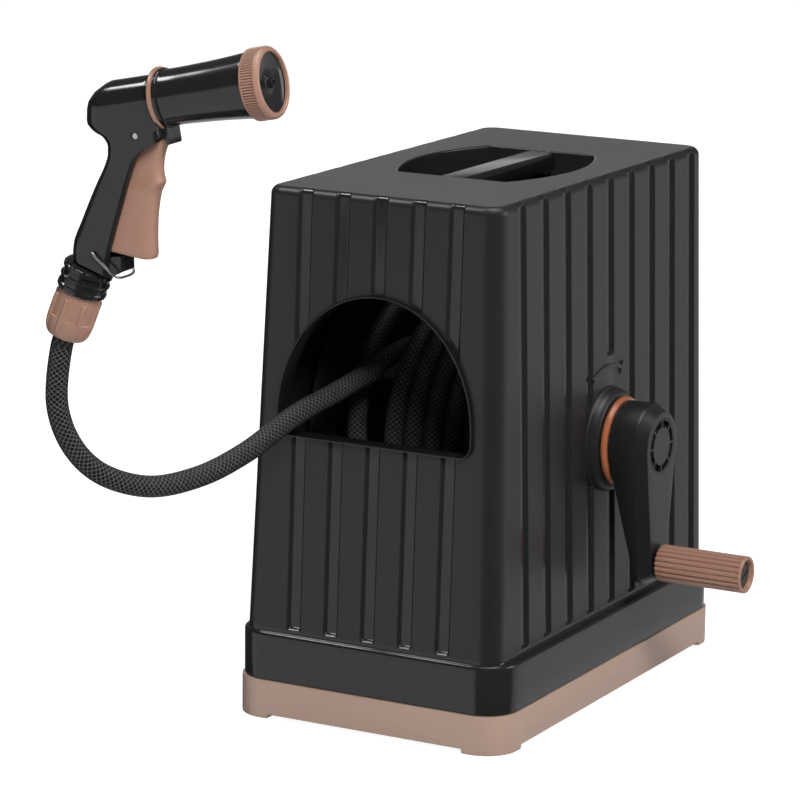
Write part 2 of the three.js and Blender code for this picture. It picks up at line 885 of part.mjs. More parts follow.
// A rod that stands on the reel's axis, for the outlet branch
function branchRod(radius, length) {
  const geometry = new THREE.CylinderGeometry(radius, radius, length, round_steps / 2);
  geometry.rotateX(Math.PI / 2);
  geometry.translate(-inlet.branch_place, reel.axis_y, reel.axis_z + length / 2);
  return solid(geometry);
}

function makeDrumScrews() {
  return drumBossPlaces().map(([y, z], number) => {
    const geometry = screw(0, drum.screw_length);
    geometry.scale(drum.screw_slimness_share, drum.screw_slimness_share, 1);
    geometry.rotateY(-Math.PI / 2);
    const mesh = named(`drum_screw_${number + 1}`, geometry, steel);
    mesh.position.set(drum.boss_seat + gap, y, z);
    return mesh;
  });
}

function makeShaft() {
  const half = shaft.square / 2;
  let body = block(
    [shaft.inner_end, reel.axis_y - half, reel.axis_z - half],
    [shaft.outer_end, reel.axis_y + half, reel.axis_z + half],
  );
  body = body.add(rod(shaft.radius, drum.hub_end + gap, collar.end));
  body = body.subtract(rod(screw_hole_radius, shaft.outer_end - crank.screw_length, shaft.outer_end + overrun,
    round_steps / 2));
  return named('crank_shaft', body, black_plastic);
}

// The rotating water axle: it turns in the inlet, and its branch feeds the hose through the core
function makeAxle() {
  const end = -inlet.axle_end;
  const reach = Math.sqrt(drum.core_radius ** 2 - inlet.branch_radius ** 2) - gap;
  let body = rod(inlet.axle_radius, end, -inlet.branch_place + inlet.axle_radius);
  body = body.add(branchRod(inlet.branch_radius, reach));
  body = body.subtract(rod(inlet.axle_bore, end - overrun, -inlet.branch_place));
  const bore_share = 0.6;
  body = body.subtract(branchRod(inlet.branch_radius * bore_share, drum.core_radius + overrun));
  return named('water_axle', body, black_plastic);
}

function makeInletFitting() {
  const socket = inlet.axle_radius + gap;
  const ring_seat = socket + 2 * inlet.ring_radius;
  const ring_half = inlet.ring_radius + gap;
  const profile = closed([
    [socket, inlet.body_start], [inlet.flange_radius, inlet.body_start],
    [inlet.flange_radius, inlet.body_start + inlet.flange_thickness],
    [inlet.body_radius, inlet.body_start + inlet.flange_thickness],
    [inlet.body_radius, inlet.body_end], [inlet.nipple_radius, inlet.body_end],
    [inlet.nipple_radius, inlet.nipple_neck_start], [inlet.nipple_neck_radius, inlet.nipple_neck_start],
    [inlet.nipple_neck_radius, inlet.nipple_neck_end], [inlet.nipple_radius, inlet.nipple_neck_end],
    [inlet.nipple_radius, inlet.nipple_end], [inlet.nipple_bore, inlet.nipple_end],
    [inlet.nipple_bore, inlet.axle_end + gap], [socket, inlet.axle_end + gap],
    [socket, inlet.ring_place + ring_half], [ring_seat, inlet.ring_place + ring_half],
    [ring_seat, inlet.ring_place - ring_half], [socket, inlet.ring_place - ring_half],
  ].map(([radius, place]) => [radius, -place]));
  return named('inlet_fitting', turned(profile), black_plastic);
}

function makeInletSeal() {
  const centre = inlet.axle_radius + gap + inlet.ring_radius;
  const seal_steps = 6;
  const profile = closed(Array.from({ length: seal_steps }, (_, step) => {
    const angle = step / seal_steps * 2 * Math.PI;
    return [
      centre + inlet.ring_radius * Math.cos(angle),
      -inlet.ring_place + inlet.ring_radius * Math.sin(angle),
    ];
  }));
  return named('inlet_seal', turned(profile), seal_rubber);
}

function makeHoseCore() {
  const half = drum.flange_inner_face - gap;
  const profile = closed([
    [drum.core_radius + gap, -half], [winding.core_radius, -half],
    [winding.core_radius, half], [drum.core_radius + gap, half],
  ]);
  return named('hose_core', turned(profile, large_round_steps), hose_rubber);
}

// The outer layer's centreline, from the turn against the far flange to the straight lead that leaves it
function windingLine() {
  const line = [];
  const steps = winding.loops * winding.steps_per_loop;
  for (let step = 0; step <= steps; step += 1) {
    const left = 1 - step / steps;
    const angle = winding.lead_angle - left * winding.loops * 2 * Math.PI;
    line.push({
      point: onLayer(angle, THREE.MathUtils.lerp(winding.lead_x, winding.first_x, left)),
      radial: new THREE.Vector3(0, Math.cos(angle), Math.sin(angle)),
    });
  }
  const first = line[0];
  const start_angle = winding.lead_angle - winding.loops * 2 * Math.PI;
  const back = new THREE.Vector3(0, Math.sin(start_angle), -Math.cos(start_angle));
  line.unshift({ point: first.point.clone().addScaledVector(back, hose_diameter), radial: first.radial });
  const lead = leadDirection();
  const radial = line[line.length - 1].radial;
  const corner = line[line.length - 1].point;
  line.push({ point: corner.clone().addScaledVector(lead, winding.lead_length / 2), radial });
  line.push({ point: corner.clone().addScaledVector(lead, winding.lead_length), radial });
  return line;
}

// A point of the outer layer's centreline
function onLayer(angle, x) {
  return new THREE.Vector3(
    x,
    reel.axis_y + winding.layer_radius * Math.cos(angle),
    reel.axis_z + winding.layer_radius * Math.sin(angle),
  );
}

function leadDirection() {
  const angle = winding.lead_angle;
  return new THREE.Vector3(winding.lead_drift_share, -Math.sin(angle), Math.cos(angle)).normalize();
}

// The least distance between two turns, measured on points along the line, less the hose itself
function leastGap(line) {
  const near = winding.steps_per_loop / 2;
  let least = Infinity;
  for (let one = 0; one < line.length; one += 1) {
    for (let other = one + near; other < line.length; other += 1) {
      least = Math.min(least, line[one].point.distanceTo(line[other].point));
    }
  }
  return least - hose_diameter;
}

function makeWinding() {
  const line = windingLine();
  console.log(`least gap in the winding: ${leastGap(line).toFixed(2)} mm`);
  const rings = line.map(({ point, radial }, number) => {
    const before = line[Math.max(number - 1, 0)].point;
    const after = line[Math.min(number + 1, line.length - 1)].point;
    const along = after.clone().sub(before).normalize();
    const across = new THREE.Vector3().crossVectors(along, radial).normalize();
    const up = new THREE.Vector3().crossVectors(across, along);
    return Array.from({ length: winding.sides }, (_, side) => {
      const turn = (side + 0.5) / winding.sides * 2 * Math.PI;
      return point.clone()
        .addScaledVector(up, hose_diameter / 2 * Math.cos(turn))
        .addScaledVector(across, hose_diameter / 2 * Math.sin(turn));
    });
  });
  return named('hose_winding', oriented(ringStack(rings)), hose_rubber);
}

// A circle about an axis along X, in even steps
function circlePoints(radius, x, z) {
  return Array.from({ length: round_steps }, (_, step) => {
    const angle = step / round_steps * 2 * Math.PI;
    return new THREE.Vector3(x, reel.axis_y + radius * Math.cos(angle), z + radius * Math.sin(angle));
  });
}

function makeCrankArm() {
  const end_z = reel.axis_z - crank.arm_length;
  const geometry = new ConvexGeometry([
    ...circlePoints(crank.hub_radius, crank.hub_back, reel.axis_z),
    ...circlePoints(crank.hub_radius, crank.shoulder, reel.axis_z),
    ...circlePoints(crank.hub_face_radius, crank.face, reel.axis_z),
    ...circlePoints(crank.end_radius, crank.end_back, end_z),
    ...circlePoints(crank.end_radius, crank.shoulder, end_z),
    ...circlePoints(crank.end_face_radius, crank.face, end_z),
  ]);
  let body = solid(geometry);
  const half = shaft.square_hole / 2;
  body = body.subtract(block(
    [crank.hub_back - overrun, reel.axis_y - half, reel.axis_z - half],
    [crank.socket_end, reel.axis_y + half, reel.axis_z + half],
  ));
  body = body.subtract(rod(screw_hole_radius, crank.socket_end - overrun, crank.face, round_steps / 2));
  body = body.subtract(rod(crank.screw_room_radius, crank.screw_seat, crank.face + overrun));
  body = body.subtract(rod(crank.cap_radius + gap, crank.cap_seat, crank.face + overrun));
  body = body.subtract(rod(grip.pin_radius + gap, crank.hub_back, crank.face + overrun,
    round_steps, reel.axis_y, end_z));
  return named('crank_arm', body, gloss_black);
}

function makeCrankRing() {
  const end = crank.hub_back - gap;
  const profile = closed([
    [shaft.radius + gap, crank.ring_start],
    [crank.ring_radius - crank.ring_round, crank.ring_start],
    [crank.ring_radius, crank.ring_start + crank.ring_round],
    [crank.ring_radius, end - crank.ring_round],
    [crank.ring_radius - crank.ring_round, end],
    [shaft.radius + gap, end],
  ]);
  return named('crank_ring', turned(profile, large_round_steps), bronze_plastic);
}

function makeHubCap() {
  let body = rod(crank.cap_radius, crank.cap_seat + gap, crank.face);
  const thickness = crank.face - crank.cap_seat;
  for (let number = 0; number < crank.cap_slot_count; number += 1) {
    const shape = new THREE.Shape();
    const middle = (number + 0.5) / crank.cap_slot_count * 2 * Math.PI;
    const half_turn = Math.PI / crank.cap_slot_count;
    const outer = half_turn - crank.cap_spoke / 2 / crank.cap_slot_outer_radius;
    const inner = half_turn - crank.cap_spoke / 2 / crank.cap_slot_inner_radius;
    shape.absarc(0, 0, crank.cap_slot_outer_radius, middle - outer, middle + outer, false);
    shape.absarc(0, 0, crank.cap_slot_inner_radius, middle + inner, middle - inner, true);
    const geometry = new THREE.ExtrudeGeometry(shape, {
      depth: thickness + 2 * overrun, bevelEnabled: false, curveSegments: 3,
    });
    geometry.rotateY(Math.PI / 2);
    geometry.translate(crank.cap_seat - overrun, reel.axis_y, reel.axis_z);
    body = body.subtract(solid(geometry));
  }
  return named('hub_cap', body, gloss_black);
}

function makeCrankScrew() {
  const geometry = screw(0, crank.screw_length);
  geometry.rotateY(-Math.PI / 2);
  geometry.translate(crank.screw_seat + gap, reel.axis_y, reel.axis_z);
  return named('crank_screw', geometry, steel);
}

function gripZ() {
  return reel.axis_z - crank.arm_length;
}

function makeGripPin() {
  const head_end = grip.end - (grip.recess_depth - grip.pin_head_height - gap);
  const head_start = head_end - grip.pin_head_height;
  const profile = [
    [0, crank.end_back + gap], [grip.pin_radius, crank.end_back + gap],
    [grip.pin_radius, crank.face + gap], [grip.pin_collar_radius, crank.face + gap],
    [grip.pin_collar_radius, grip.start - gap], [grip.pin_radius, grip.start - gap],
    [grip.pin_radius, head_start], [grip.pin_head_radius, head_start],
    [grip.pin_head_radius, head_end], [0, head_end],
  ];
  let body = turned(profile, round_steps, reel.axis_y, gripZ());
  const half_slot = grip.pin_slot_width / 2;
  body = body.subtract(block(
    [head_end - grip.pin_slot_depth, reel.axis_y - grip.pin_head_radius, gripZ() - half_slot],
    [head_end + overrun, reel.axis_y + grip.pin_head_radius, gripZ() + half_slot],
  ));
  return named('grip_pin', body, gloss_black);
}

function makeGrip() {
  const shape = new THREE.Shape();
  const points_per_flute = 3;
  const count = grip.flute_count * points_per_flute;
  for (let step = 0; step < count; step += 1) {
    const angle = step / count * 2 * Math.PI;
    const radius = step % points_per_flute === 0 ? grip.radius - grip.flute_depth : grip.radius;
    const method = step === 0 ? 'moveTo' : 'lineTo';
    shape[method](radius * Math.cos(angle), radius * Math.sin(angle));
  }
  const geometry = new THREE.ExtrudeGeometry(shape, { depth: grip.end - grip.start, bevelEnabled: false });
  geometry.rotateY(Math.PI / 2);
  geometry.translate(grip.start, reel.axis_y, gripZ());
  let body = solid(geometry);
  body = body.subtract(rod(grip.bore_radius, grip.start - overrun, grip.end,
    round_steps, reel.axis_y, gripZ()));
  body = body.subtract(rod(grip.recess_radius, grip.end - grip.recess_depth, grip.end + overrun,
    round_steps, reel.axis_y, gripZ()));
  return named('crank_grip', body, bronze_plastic);
}

// An outline given in shares of the gun's reach
function inReach(shares) {
  return shares.map(([x, z]) => new THREE.Vector2(x * gun.reach, z * gun.reach));
}

// An outline in the gun's side view, drawn out to a width with rounded edges
function sideSolid(shares, width, edge_round) {
  const shape = new THREE.Shape(inReach(shares));
  const geometry = new THREE.ExtrudeGeometry(shape, {
    depth: width - 2 * edge_round,
    bevelEnabled: edge_round > 0,
    bevelSize: edge_round * gun.edge_round_share,
    bevelOffset: -edge_round * gun.edge_round_share,
    bevelThickness: edge_round,
    bevelSegments: 2,
  });
  geometry.rotateX(Math.PI / 2);
  geometry.translate(0, (width - 2 * edge_round) / 2, 0);
  return solid(geometry);
}

function gunRod(radius, start, end, steps) {
  return rod(radius, start, end, steps, 0, gun.barrel_axis);
}

function crossRod(radius, length, x, z) {
  const geometry = new THREE.CylinderGeometry(radius, radius, length, round_steps / 2);
  geometry.translate(x, 0, z);
  return solid(geometry);
}

// A section with even sides, to draw along a path
function polygon(radius, sides) {
  return new THREE.Shape(Array.from({ length: sides }, (_, side) => {
    const angle = side / sides * 2 * Math.PI;
    return new THREE.Vector2(radius * Math.cos(angle), radius * Math.sin(angle));
  }));
}

// Lays a geometry drawn along Y on the tail's axis, Y counting down from the handle
function onTail(geometry) {
  const down = new THREE.Vector3(tail.direction.x, 0, tail.direction.y);
  geometry.applyQuaternion(new THREE.Quaternion().setFromUnitVectors(new THREE.Vector3(0, 1, 0), down));
  geometry.translate(tail.start[0], 0, tail.start[1]);
  return oriented(geometry);
}

function turnedOnTail(profile) {
  const points = profile.map(([radius, place]) => new THREE.Vector2(radius, place));
  return onTail(new THREE.LatheGeometry(points, round_steps));
}

function makeGunBody() {
  let body = sideSolid(handle_outline_shares, gun.width, gun.edge_round);
  const shell_profile = [
    [0, gun.shell_back], [gun.shell_radius * gun.shell_end_share, gun.shell_back],
    [gun.shell_radius, gun.shell_back * gun.shell_round_share],
    [gun.shell_radius, gun.shell_front], [0, gun.shell_front],
  ];
  body = body.add(turned(shell_profile, round_steps, 0, gun.barrel_axis));
  body = body.subtract(block(
    [gun.shell_front, -gun.width, -gun.reach],
    [gun.reach, gun.width, gun.reach],
  ));
  body = body.subtract(turnedOnTail([[0, -gap], [gun.reach, -gap], [gun.reach, gun.reach], [0, gun.reach]]));
  body = body.subtract(gunRod(gun.spigot_radius + gap, gun.spigot_back - gap, gun.shell_front + overrun));
  body = body.subtract(gunRod(stem.radius + gap, gun.stem_guide_back, gun.shell_front, round_steps / 2));
  body = body.subtract(sideSolid(slot_outline_shares, gun.slot_width, 0));
  body = body.subtract(crossRod(trigger.pin_radius + gap, 2 * gun.width, 0, 0));
  const [hole_x, , hole_z] = wire_path_shares[0];
  body = body.subtract(crossRod(latch.hole_radius, 2 * gun.width, hole_x * gun.reach, hole_z * gun.reach));
  body = body.subtract(turnedOnTail([
    [0, -gun.foot_bore_depth], [gun.foot_bore_radius, -gun.foot_bore_depth],
    [gun.foot_bore_radius, overrun], [0, overrun],
  ]));
  return named('gun_body', body, gloss_black);
}

function makeBarrel() {
  const profile = closed([
    [barrel.spigot_bore, gun.spigot_back], [gun.spigot_radius, gun.spigot_back],
    [gun.spigot_radius, barrel.flange_start], [barrel.flange_radius, barrel.flange_start],
    [barrel.flange_radius, barrel.flange_end], [barrel.radius, barrel.flange_end],
    [barrel.waist_radius, barrel.waist], [barrel.flare_start_radius, barrel.flare_start],
    [barrel.flare_radius, dial.start], [barrel.flare_radius, barrel.end],
    [barrel.bore_radius, barrel.end], [barrel.bore_radius, barrel.flange_end + overrun],
    [barrel.spigot_bore, barrel.flange_end],
  ]);
  let body = turned(profile, round_steps, 0, gun.barrel_axis);
  const bore = gunRod(barrel.bore_radius, barrel.flange_end, barrel.end);
  body = body.add(sideSolid(lug_outline_shares, barrel.lug_width, 0).subtract(bore));
  return named('gun_barrel', body, gloss_black);
}

function makeBarrelRing() {
  const profile = closed([
    [gun.spigot_radius + gap, barrel.ring_start], [barrel.ring_radius, barrel.ring_start],
    [barrel.ring_radius, barrel.ring_end], [gun.spigot_radius + gap, barrel.ring_end],
  ]);
  return named('barrel_ring', turned(profile, round_steps, 0, gun.barrel_axis), bronze_plastic);
}

function makeDial() {
  const inner = barrel.flare_radius + gap;
  const profile = closed([
    [inner, dial.start], [dial.radius - dial.round, dial.start], [dial.radius, dial.start + dial.round],
    [dial.radius, dial.end - dial.round], [dial.radius - dial.round, dial.end], [dial.lip_radius, dial.end],
    [dial.lip_radius, dial.lip_start], [inner, dial.lip_start],
  ]);
  return named('spray_dial', turned(profile, large_round_steps, 0, gun.barrel_axis), bronze_plastic);
}

function makeSprayFace() {
  const front = dial.lip_start - gap;
  const profile = closed([
    [dial.orifice_radius, dial.face_start], [dial.face_radius, dial.face_start],
    [dial.face_radius, front], [dial.lip_radius - gap, front],
    [dial.boss_radius, front - dial.face_dish], [dial.boss_radius, dial.boss_end],
    [dial.orifice_radius, dial.boss_end],
  ]);
  return named('spray_face', turned(profile, round_steps, 0, gun.barrel_axis), gloss_black);
}

function makeStem() {
  const profile = [
    [0, stem.back], [stem.radius, stem.back], [stem.radius, stem.head_start],
    [stem.head_radius, stem.head_start], [stem.head_radius, stem.head_end],
    [stem.radius / 2, stem.front], [0, stem.front],
  ];
  return named('valve_stem', turned(profile, round_steps / 2, 0, gun.barrel_axis), steel);
}

function makeTrigger() {
  let body = sideSolid(trigger_outline_shares, trigger.width, trigger.edge_round);
  body = body.add(crossRod(trigger.eye_radius, trigger.width, 0, 0));
  body = body.subtract(crossRod(trigger.pin_radius + gap, 2 * gun.width, 0, 0));
  return named('trigger', body, bronze_plastic);
}

function makeTriggerPin() {
  return named('trigger_pin', crossRod(trigger.pin_radius, trigger.pin_length, 0, 0), steel);
}

function makeLatchWire() {
  const half = wire_path_shares.map(([x, y, z]) => new THREE.Vector3(
    x * gun.reach, -y * latch.half_span, z * gun.reach,
  ));
  const mirrored = half.map((point) => new THREE.Vector3(point.x, -point.y, point.z)).reverse();
  const path = new THREE.CatmullRomCurve3([...half, ...mirrored], false, 'centripetal');
  const section = polygon(latch.wire_radius, latch.sides);
  const geometry = new THREE.ExtrudeGeometry(section, {
    steps: latch.steps, extrudePath: path, bevelEnabled: false,
  });
  return named('latch_wire', oriented(geometry), steel);
}

function makeAdaptor() {
  const profile = [
    [tail.bore, -tail.spigot_length], [tail.spigot_radius, -tail.spigot_length],
    [tail.spigot_radius, 0], [tail.adaptor_radius, 0],
  ];
  const rib_count = 3;
  const rib = tail.adaptor_length / (2 * rib_count - 1);
  for (let number = 1; number < 2 * rib_count - 1; number += 1) {
    const before = number % 2 === 1 ? 0 : tail.adaptor_groove;
    const after = tail.adaptor_groove - before;
    profile.push([tail.adaptor_radius - before, number * rib], [tail.adaptor_radius - after, number * rib]);
  }
  profile.push(
    [tail.adaptor_radius, tail.adaptor_length], [tail.thread_radius, tail.adaptor_length],
    [tail.thread_radius, tail.adaptor_length + tail.thread_length],
    [tail.bore, tail.adaptor_length + tail.thread_length],
  );
  return named('hose_adaptor', turnedOnTail(closed(profile)), gloss_black);
}

function makeNut() {
  const start = tail.adaptor_length + tail.nut_gap;
  const end = start + tail.nut_length;
  const seat = tail.adaptor_length + tail.thread_length + gap;
  const neck_end = start + tail.nut_length * tail.nut_neck_share;
  const waist = start + tail.nut_length * tail.nut_waist_share;
  const inner = tail.thread_radius + gap;
  let body = turnedOnTail(closed([
    [inner, start], [tail.nut_neck_radius, start], [tail.nut_radius - tail.nut_rib, neck_end],
    [tail.nut_radius - tail.nut_rib, waist], [tail.nut_end_radius, end], [tail.nut_hole, end],
    [tail.nut_hole, seat], [inner, seat],
  ]));
  const room = turnedOnTail([[0, start], [inner, start], [inner, seat], [0, seat]]);
  for (let number = 0; number < tail.nut_rib_count; number += 1) {
    const geometry = new THREE.BoxGeometry(tail.nut_radius - inner, waist - neck_end, 2 * tail.nut_rib);
    geometry.translate((tail.nut_radius + inner) / 2, (waist + neck_end) / 2, 0);
    geometry.rotateY(number / tail.nut_rib_count * 2 * Math.PI);
    body = body.add(onTail(geometry).subtract(room));
  }
  return named('hose_nut', body, bronze_plastic);
}

const gun_group = new THREE.Group();
gun_group.add(
  makeGunBody(), makeBarrel(), makeBarrelRing(), makeDial(), makeSprayFace(), makeStem(),
  makeTrigger(), makeTriggerPin(), makeLatchWire(), makeAdaptor(), makeNut(),
);
gun_group.rotation.order = 'ZYX';
gun_group.rotation.set(0, -gun.pitch, gun.yaw);
gun_group.position.set(...gun.pin);
gun_group.updateMatrixWorld(true);

// Where the nut ends and the free hose begins, in the box's frame
function nutEnd(beyond) {
  const place = tail.adaptor_length + tail.nut_gap + tail.nut_length + beyond;
  const local = new THREE.Vector3(
    tail.start[0] + tail.direction.x * place,
    0,
    tail.start[1] + tail.direction.y * place,
  );
  return local.applyMatrix4(gun_group.matrixWorld);
}

function makeFreeHose() {
  const line = windingLine();
  const lead_end = line[line.length - 1].point;
  const lead = leadDirection();
  const path = new THREE.CatmullRomCurve3([
    lead_end.clone().addScaledVector(lead, gap),
    lead_end.clone().addScaledVector(lead, gap + hose_diameter / 2),
    ...hose_route.map((point) => new THREE.Vector3(...point)),
    nutEnd(hose_diameter / 2),
    nutEnd(gap),
  ], false, 'centripetal');
  console.log(`free hose: ${path.getLength().toFixed(1)} mm`);
  const section = polygon(hose_diameter / 2, hose_sides);
  const geometry = new THREE.ExtrudeGeometry(section, {
    steps: Math.ceil(path.getLength() / hose_step), extrudePath: path, bevelEnabled: false,
  });
  return named('hose_free', oriented(geometry), hose_rubber);
}

const model = new THREE.Group();
model.add(
  makeTray(), makeCover(), makeHandle(), ...makeHandleScrews(), ...makeBaseScrews(),
  makeBush('crank_bush', 1), makeBush('inlet_bush', -1), makeInletFitting(), makeInletSeal(),
  makeDrumHalf('drum_right', 1), makeDrumHalf('drum_left', -1), ...makeDrumScrews(), makeShaft(), makeAxle(),
  makeHoseCore(), makeWinding(), makeCrankRing(), makeCrankArm(), makeHubCap(), makeCrankScrew(),
  makeGripPin(), makeGrip(), gun_group, makeFreeHose(),
);
model.position.x = (inlet.nipple_end - grip.end) / 2;

export default model;
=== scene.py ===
import math

import bpy
import numpy as np
from mathutils import Matrix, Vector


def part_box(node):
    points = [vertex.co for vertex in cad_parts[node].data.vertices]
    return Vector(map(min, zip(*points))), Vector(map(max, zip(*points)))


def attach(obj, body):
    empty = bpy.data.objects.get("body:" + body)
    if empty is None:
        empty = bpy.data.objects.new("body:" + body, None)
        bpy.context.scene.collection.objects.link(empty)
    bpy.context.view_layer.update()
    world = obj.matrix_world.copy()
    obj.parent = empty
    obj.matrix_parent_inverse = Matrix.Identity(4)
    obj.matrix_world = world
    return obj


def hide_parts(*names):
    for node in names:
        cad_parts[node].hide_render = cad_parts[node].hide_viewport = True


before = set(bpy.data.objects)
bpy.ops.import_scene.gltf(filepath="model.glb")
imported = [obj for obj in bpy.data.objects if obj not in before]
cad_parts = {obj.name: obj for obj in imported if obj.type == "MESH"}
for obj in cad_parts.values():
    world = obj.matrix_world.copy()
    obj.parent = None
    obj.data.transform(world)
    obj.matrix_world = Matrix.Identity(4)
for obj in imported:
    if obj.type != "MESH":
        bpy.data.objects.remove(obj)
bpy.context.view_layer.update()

# The camera stands on the crank side of the window wall, a little above the box.
# Every place below is in millimetres about the middle of the base, as in the drawing of the
# box; the tray's own middle says how far the frame is moved from there.
MM = 0.001
tray_low, tray_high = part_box("base_tray")
FRAME_SHIFT = np.array([(tray_low.x + tray_high.x) / 2 / MM, 0, 0])


def in_frame(points):
    """Millimetres about the middle of the base, moved and scaled to the frame's metres."""
    return (np.asarray(points, float) + FRAME_SHIFT) * MM


def heading(turn, rise):
    """The direction at a turn from the crank's side and a rise above the level: the turn's
    cosine and sine times the rise's cosine, and the rise's sine."""
    return np.array([math.cos(turn) * math.cos(rise), math.sin(turn) * math.cos(rise), math.sin(rise)])


def stood(name, data, place, back, right):
    """A camera or lamp at a place in millimetres. It looks away from its back, and the cross
    product of its back and right is its up."""
    thing = bpy.data.objects.new(name, data)
    placing = np.eye(4)
    placing[:3] = np.column_stack([right, np.cross(back, right), back, in_frame(place)])
    thing.matrix_world = Matrix(placing.tolist())
    bpy.context.scene.collection.objects.link(thing)
    return thing


camera_azimuth, camera_elevation, camera_roll = math.radians(28.636), math.radians(12.639), math.radians(0.692)
camera_distance, camera_aim_height = 2805.05, 190
camera_aim_side, camera_aim_up = -62.535, 15.836
toward_camera = heading(camera_azimuth - math.pi / 2, camera_elevation)
level_right = heading(camera_azimuth, 0)
level_up = np.cross(toward_camera, level_right)
camera_place = (np.array([0, 0, camera_aim_height]) + camera_aim_side * level_right + camera_aim_up * level_up
                + camera_distance * toward_camera)
camera = stood("camera", bpy.data.cameras.new("camera"), camera_place, toward_camera,
               math.cos(camera_roll) * level_right + math.sin(camera_roll) * level_up)
camera.data.sensor_width = 36
camera.data.lens = 172.94
camera.data.clip_end = 20
bpy.context.scene.camera = camera
bpy.context.scene.view_settings.view_transform = "Standard"


# Base tray: a shallow open tray injection moulded in bronze plastic, on four low corner feet.
# Its lip holds the cover, and four hollow posts take the screws that come up through it.
TRAY_HALF_X, TRAY_HALF_Y, TRAY_CORNER, TRAY_TOP = 109, 179.5, 25, 28
FOOT_HEIGHT, FOOT_LENGTH, foot_taper = 3, 31, 0.975
tray_floor, tray_edge, tray_lip_top, tray_lip_outer, tray_lip_inner = 6, 1, 34, 5.8, 7.8
post_radius, post_top, post_inset = 7.5, 52, 22
post_bore, post_bore_top, post_screw_hole = 4.8, 46, 2.5


class Signal:
    """An output socket of a material's node. Arithmetic on it adds the Math nodes for it."""

    def __init__(self, socket):
        self.socket = socket

    def node(self, kind, settings, sockets, output=0):
        """Adds a node of a type, sets its settings, then gives its sockets values or links."""
        made = self.socket.id_data.nodes.new("ShaderNode" + kind)
        for name, value in settings.items():
            setattr(made, name, value)
        for name, value in sockets.items():
            feed(made.inputs[name], value)
        return Signal(made.outputs[output])

    def math(self, operation, *others):
        """A Math node's operation on this value and others."""
        return self.node("Math", {"operation": operation}, dict(enumerate((self, *others))))

    def other(self, output):
        """Another output of the same node."""
        return Signal(self.socket.node.outputs[output])

    def __add__(self, other):
        return self.math("ADD", other)

    def __sub__(self, other):
        return self.math("SUBTRACT", other)

    def __rsub__(self, other):
        return self.node("Math", {"operation": "SUBTRACT"}, {0: other, 1: self})

    def __mul__(self, other):
        return self.math("MULTIPLY", other)

    __radd__, __rmul__ = __add__, __mul__

    def clipped(self, low, high):
        """How far the value is from low to high, from 0 to 1, with soft ends."""
        return self.node("MapRange", {"interpolation_type": "SMOOTHSTEP"},
                         {"Value": self, "From Min": low, "From Max": high})

    def noise(self, scale, detail=2.0):
        """Smooth noise over the points this signal carries, from 0 to 1."""
        return self.node("TexNoise", {}, {"Vector": self, "Scale": scale, "Detail": detail})

    def mixed(self, first, second):
        """The colour that is first where this value is 0 and second where it is 1."""
        return self.node("Mix", {"data_type": "RGBA"}, {0: self, 6: first, 7: second}, 2)

    def bumped(self, height, strength):
        """The normal over bumps that are this value times a height in metres."""
        return self.node("Bump", {}, {"Height": self, "Distance": height, "Strength": strength})


def feed(socket, value):
    """Links a signal to a socket, or sets the socket's own value."""
    if isinstance(value, Signal):
        socket.id_data.links.new(value.socket, socket)
    else:
        socket.default_value = value


def new_finish(name, **constants):
    """A material, its shader's sockets, and the piece's own coordinates in metres."""
    material = bpy.data.materials.new(name)
    material.use_nodes = True
    tree = material.node_tree
    shader = tree.nodes["Principled BSDF"].inputs
    for socket, value in constants.items():
        shader[socket.replace("_", " ")].default_value = value
    points = Signal(tree.nodes.new("ShaderNodeTexCoord").outputs["Object"])
    return material, shader, points


def moulded(name, colour, worn, roughness, grain, polished=0, **constants):
    """Moulded plastic: faint flow marks in the colour, a fine grain in its bumps and gloss.
    Where the piece's shine is 1, the mould was polished: the grain fades, and so does some
    of the roughness."""
    material, shader, points = new_finish(name, **constants)
    flow = points.noise(14, 4)
    fine = points.noise(1500)
    speckle = points.noise(420).clipped(0.58, 0.8)
    shine = points.node("Attribute", {"attribute_name": "shine"}, {}, 2)
    feed(shader["Base Color"], (flow * 0.45 + speckle * 0.35).mixed(colour, worn))
    feed(shader["Roughness"], roughness + flow * 0.06 + fine * 0.05 - shine * polished)
    feed(shader["Normal"], (fine * (1 - shine * 0.85) + flow * 0.3).bumped(0.0002, grain))
    return material


def volume_of(points, faces):
    """Six times the volume inside four-sided faces, below zero where they are inside out."""
    a, b, c, d = (points[faces[:, corner]] for corner in range(4))
    return float(np.sum(np.einsum("ij,ij->i", a, np.cross(b, c) + np.cross(c, d))))


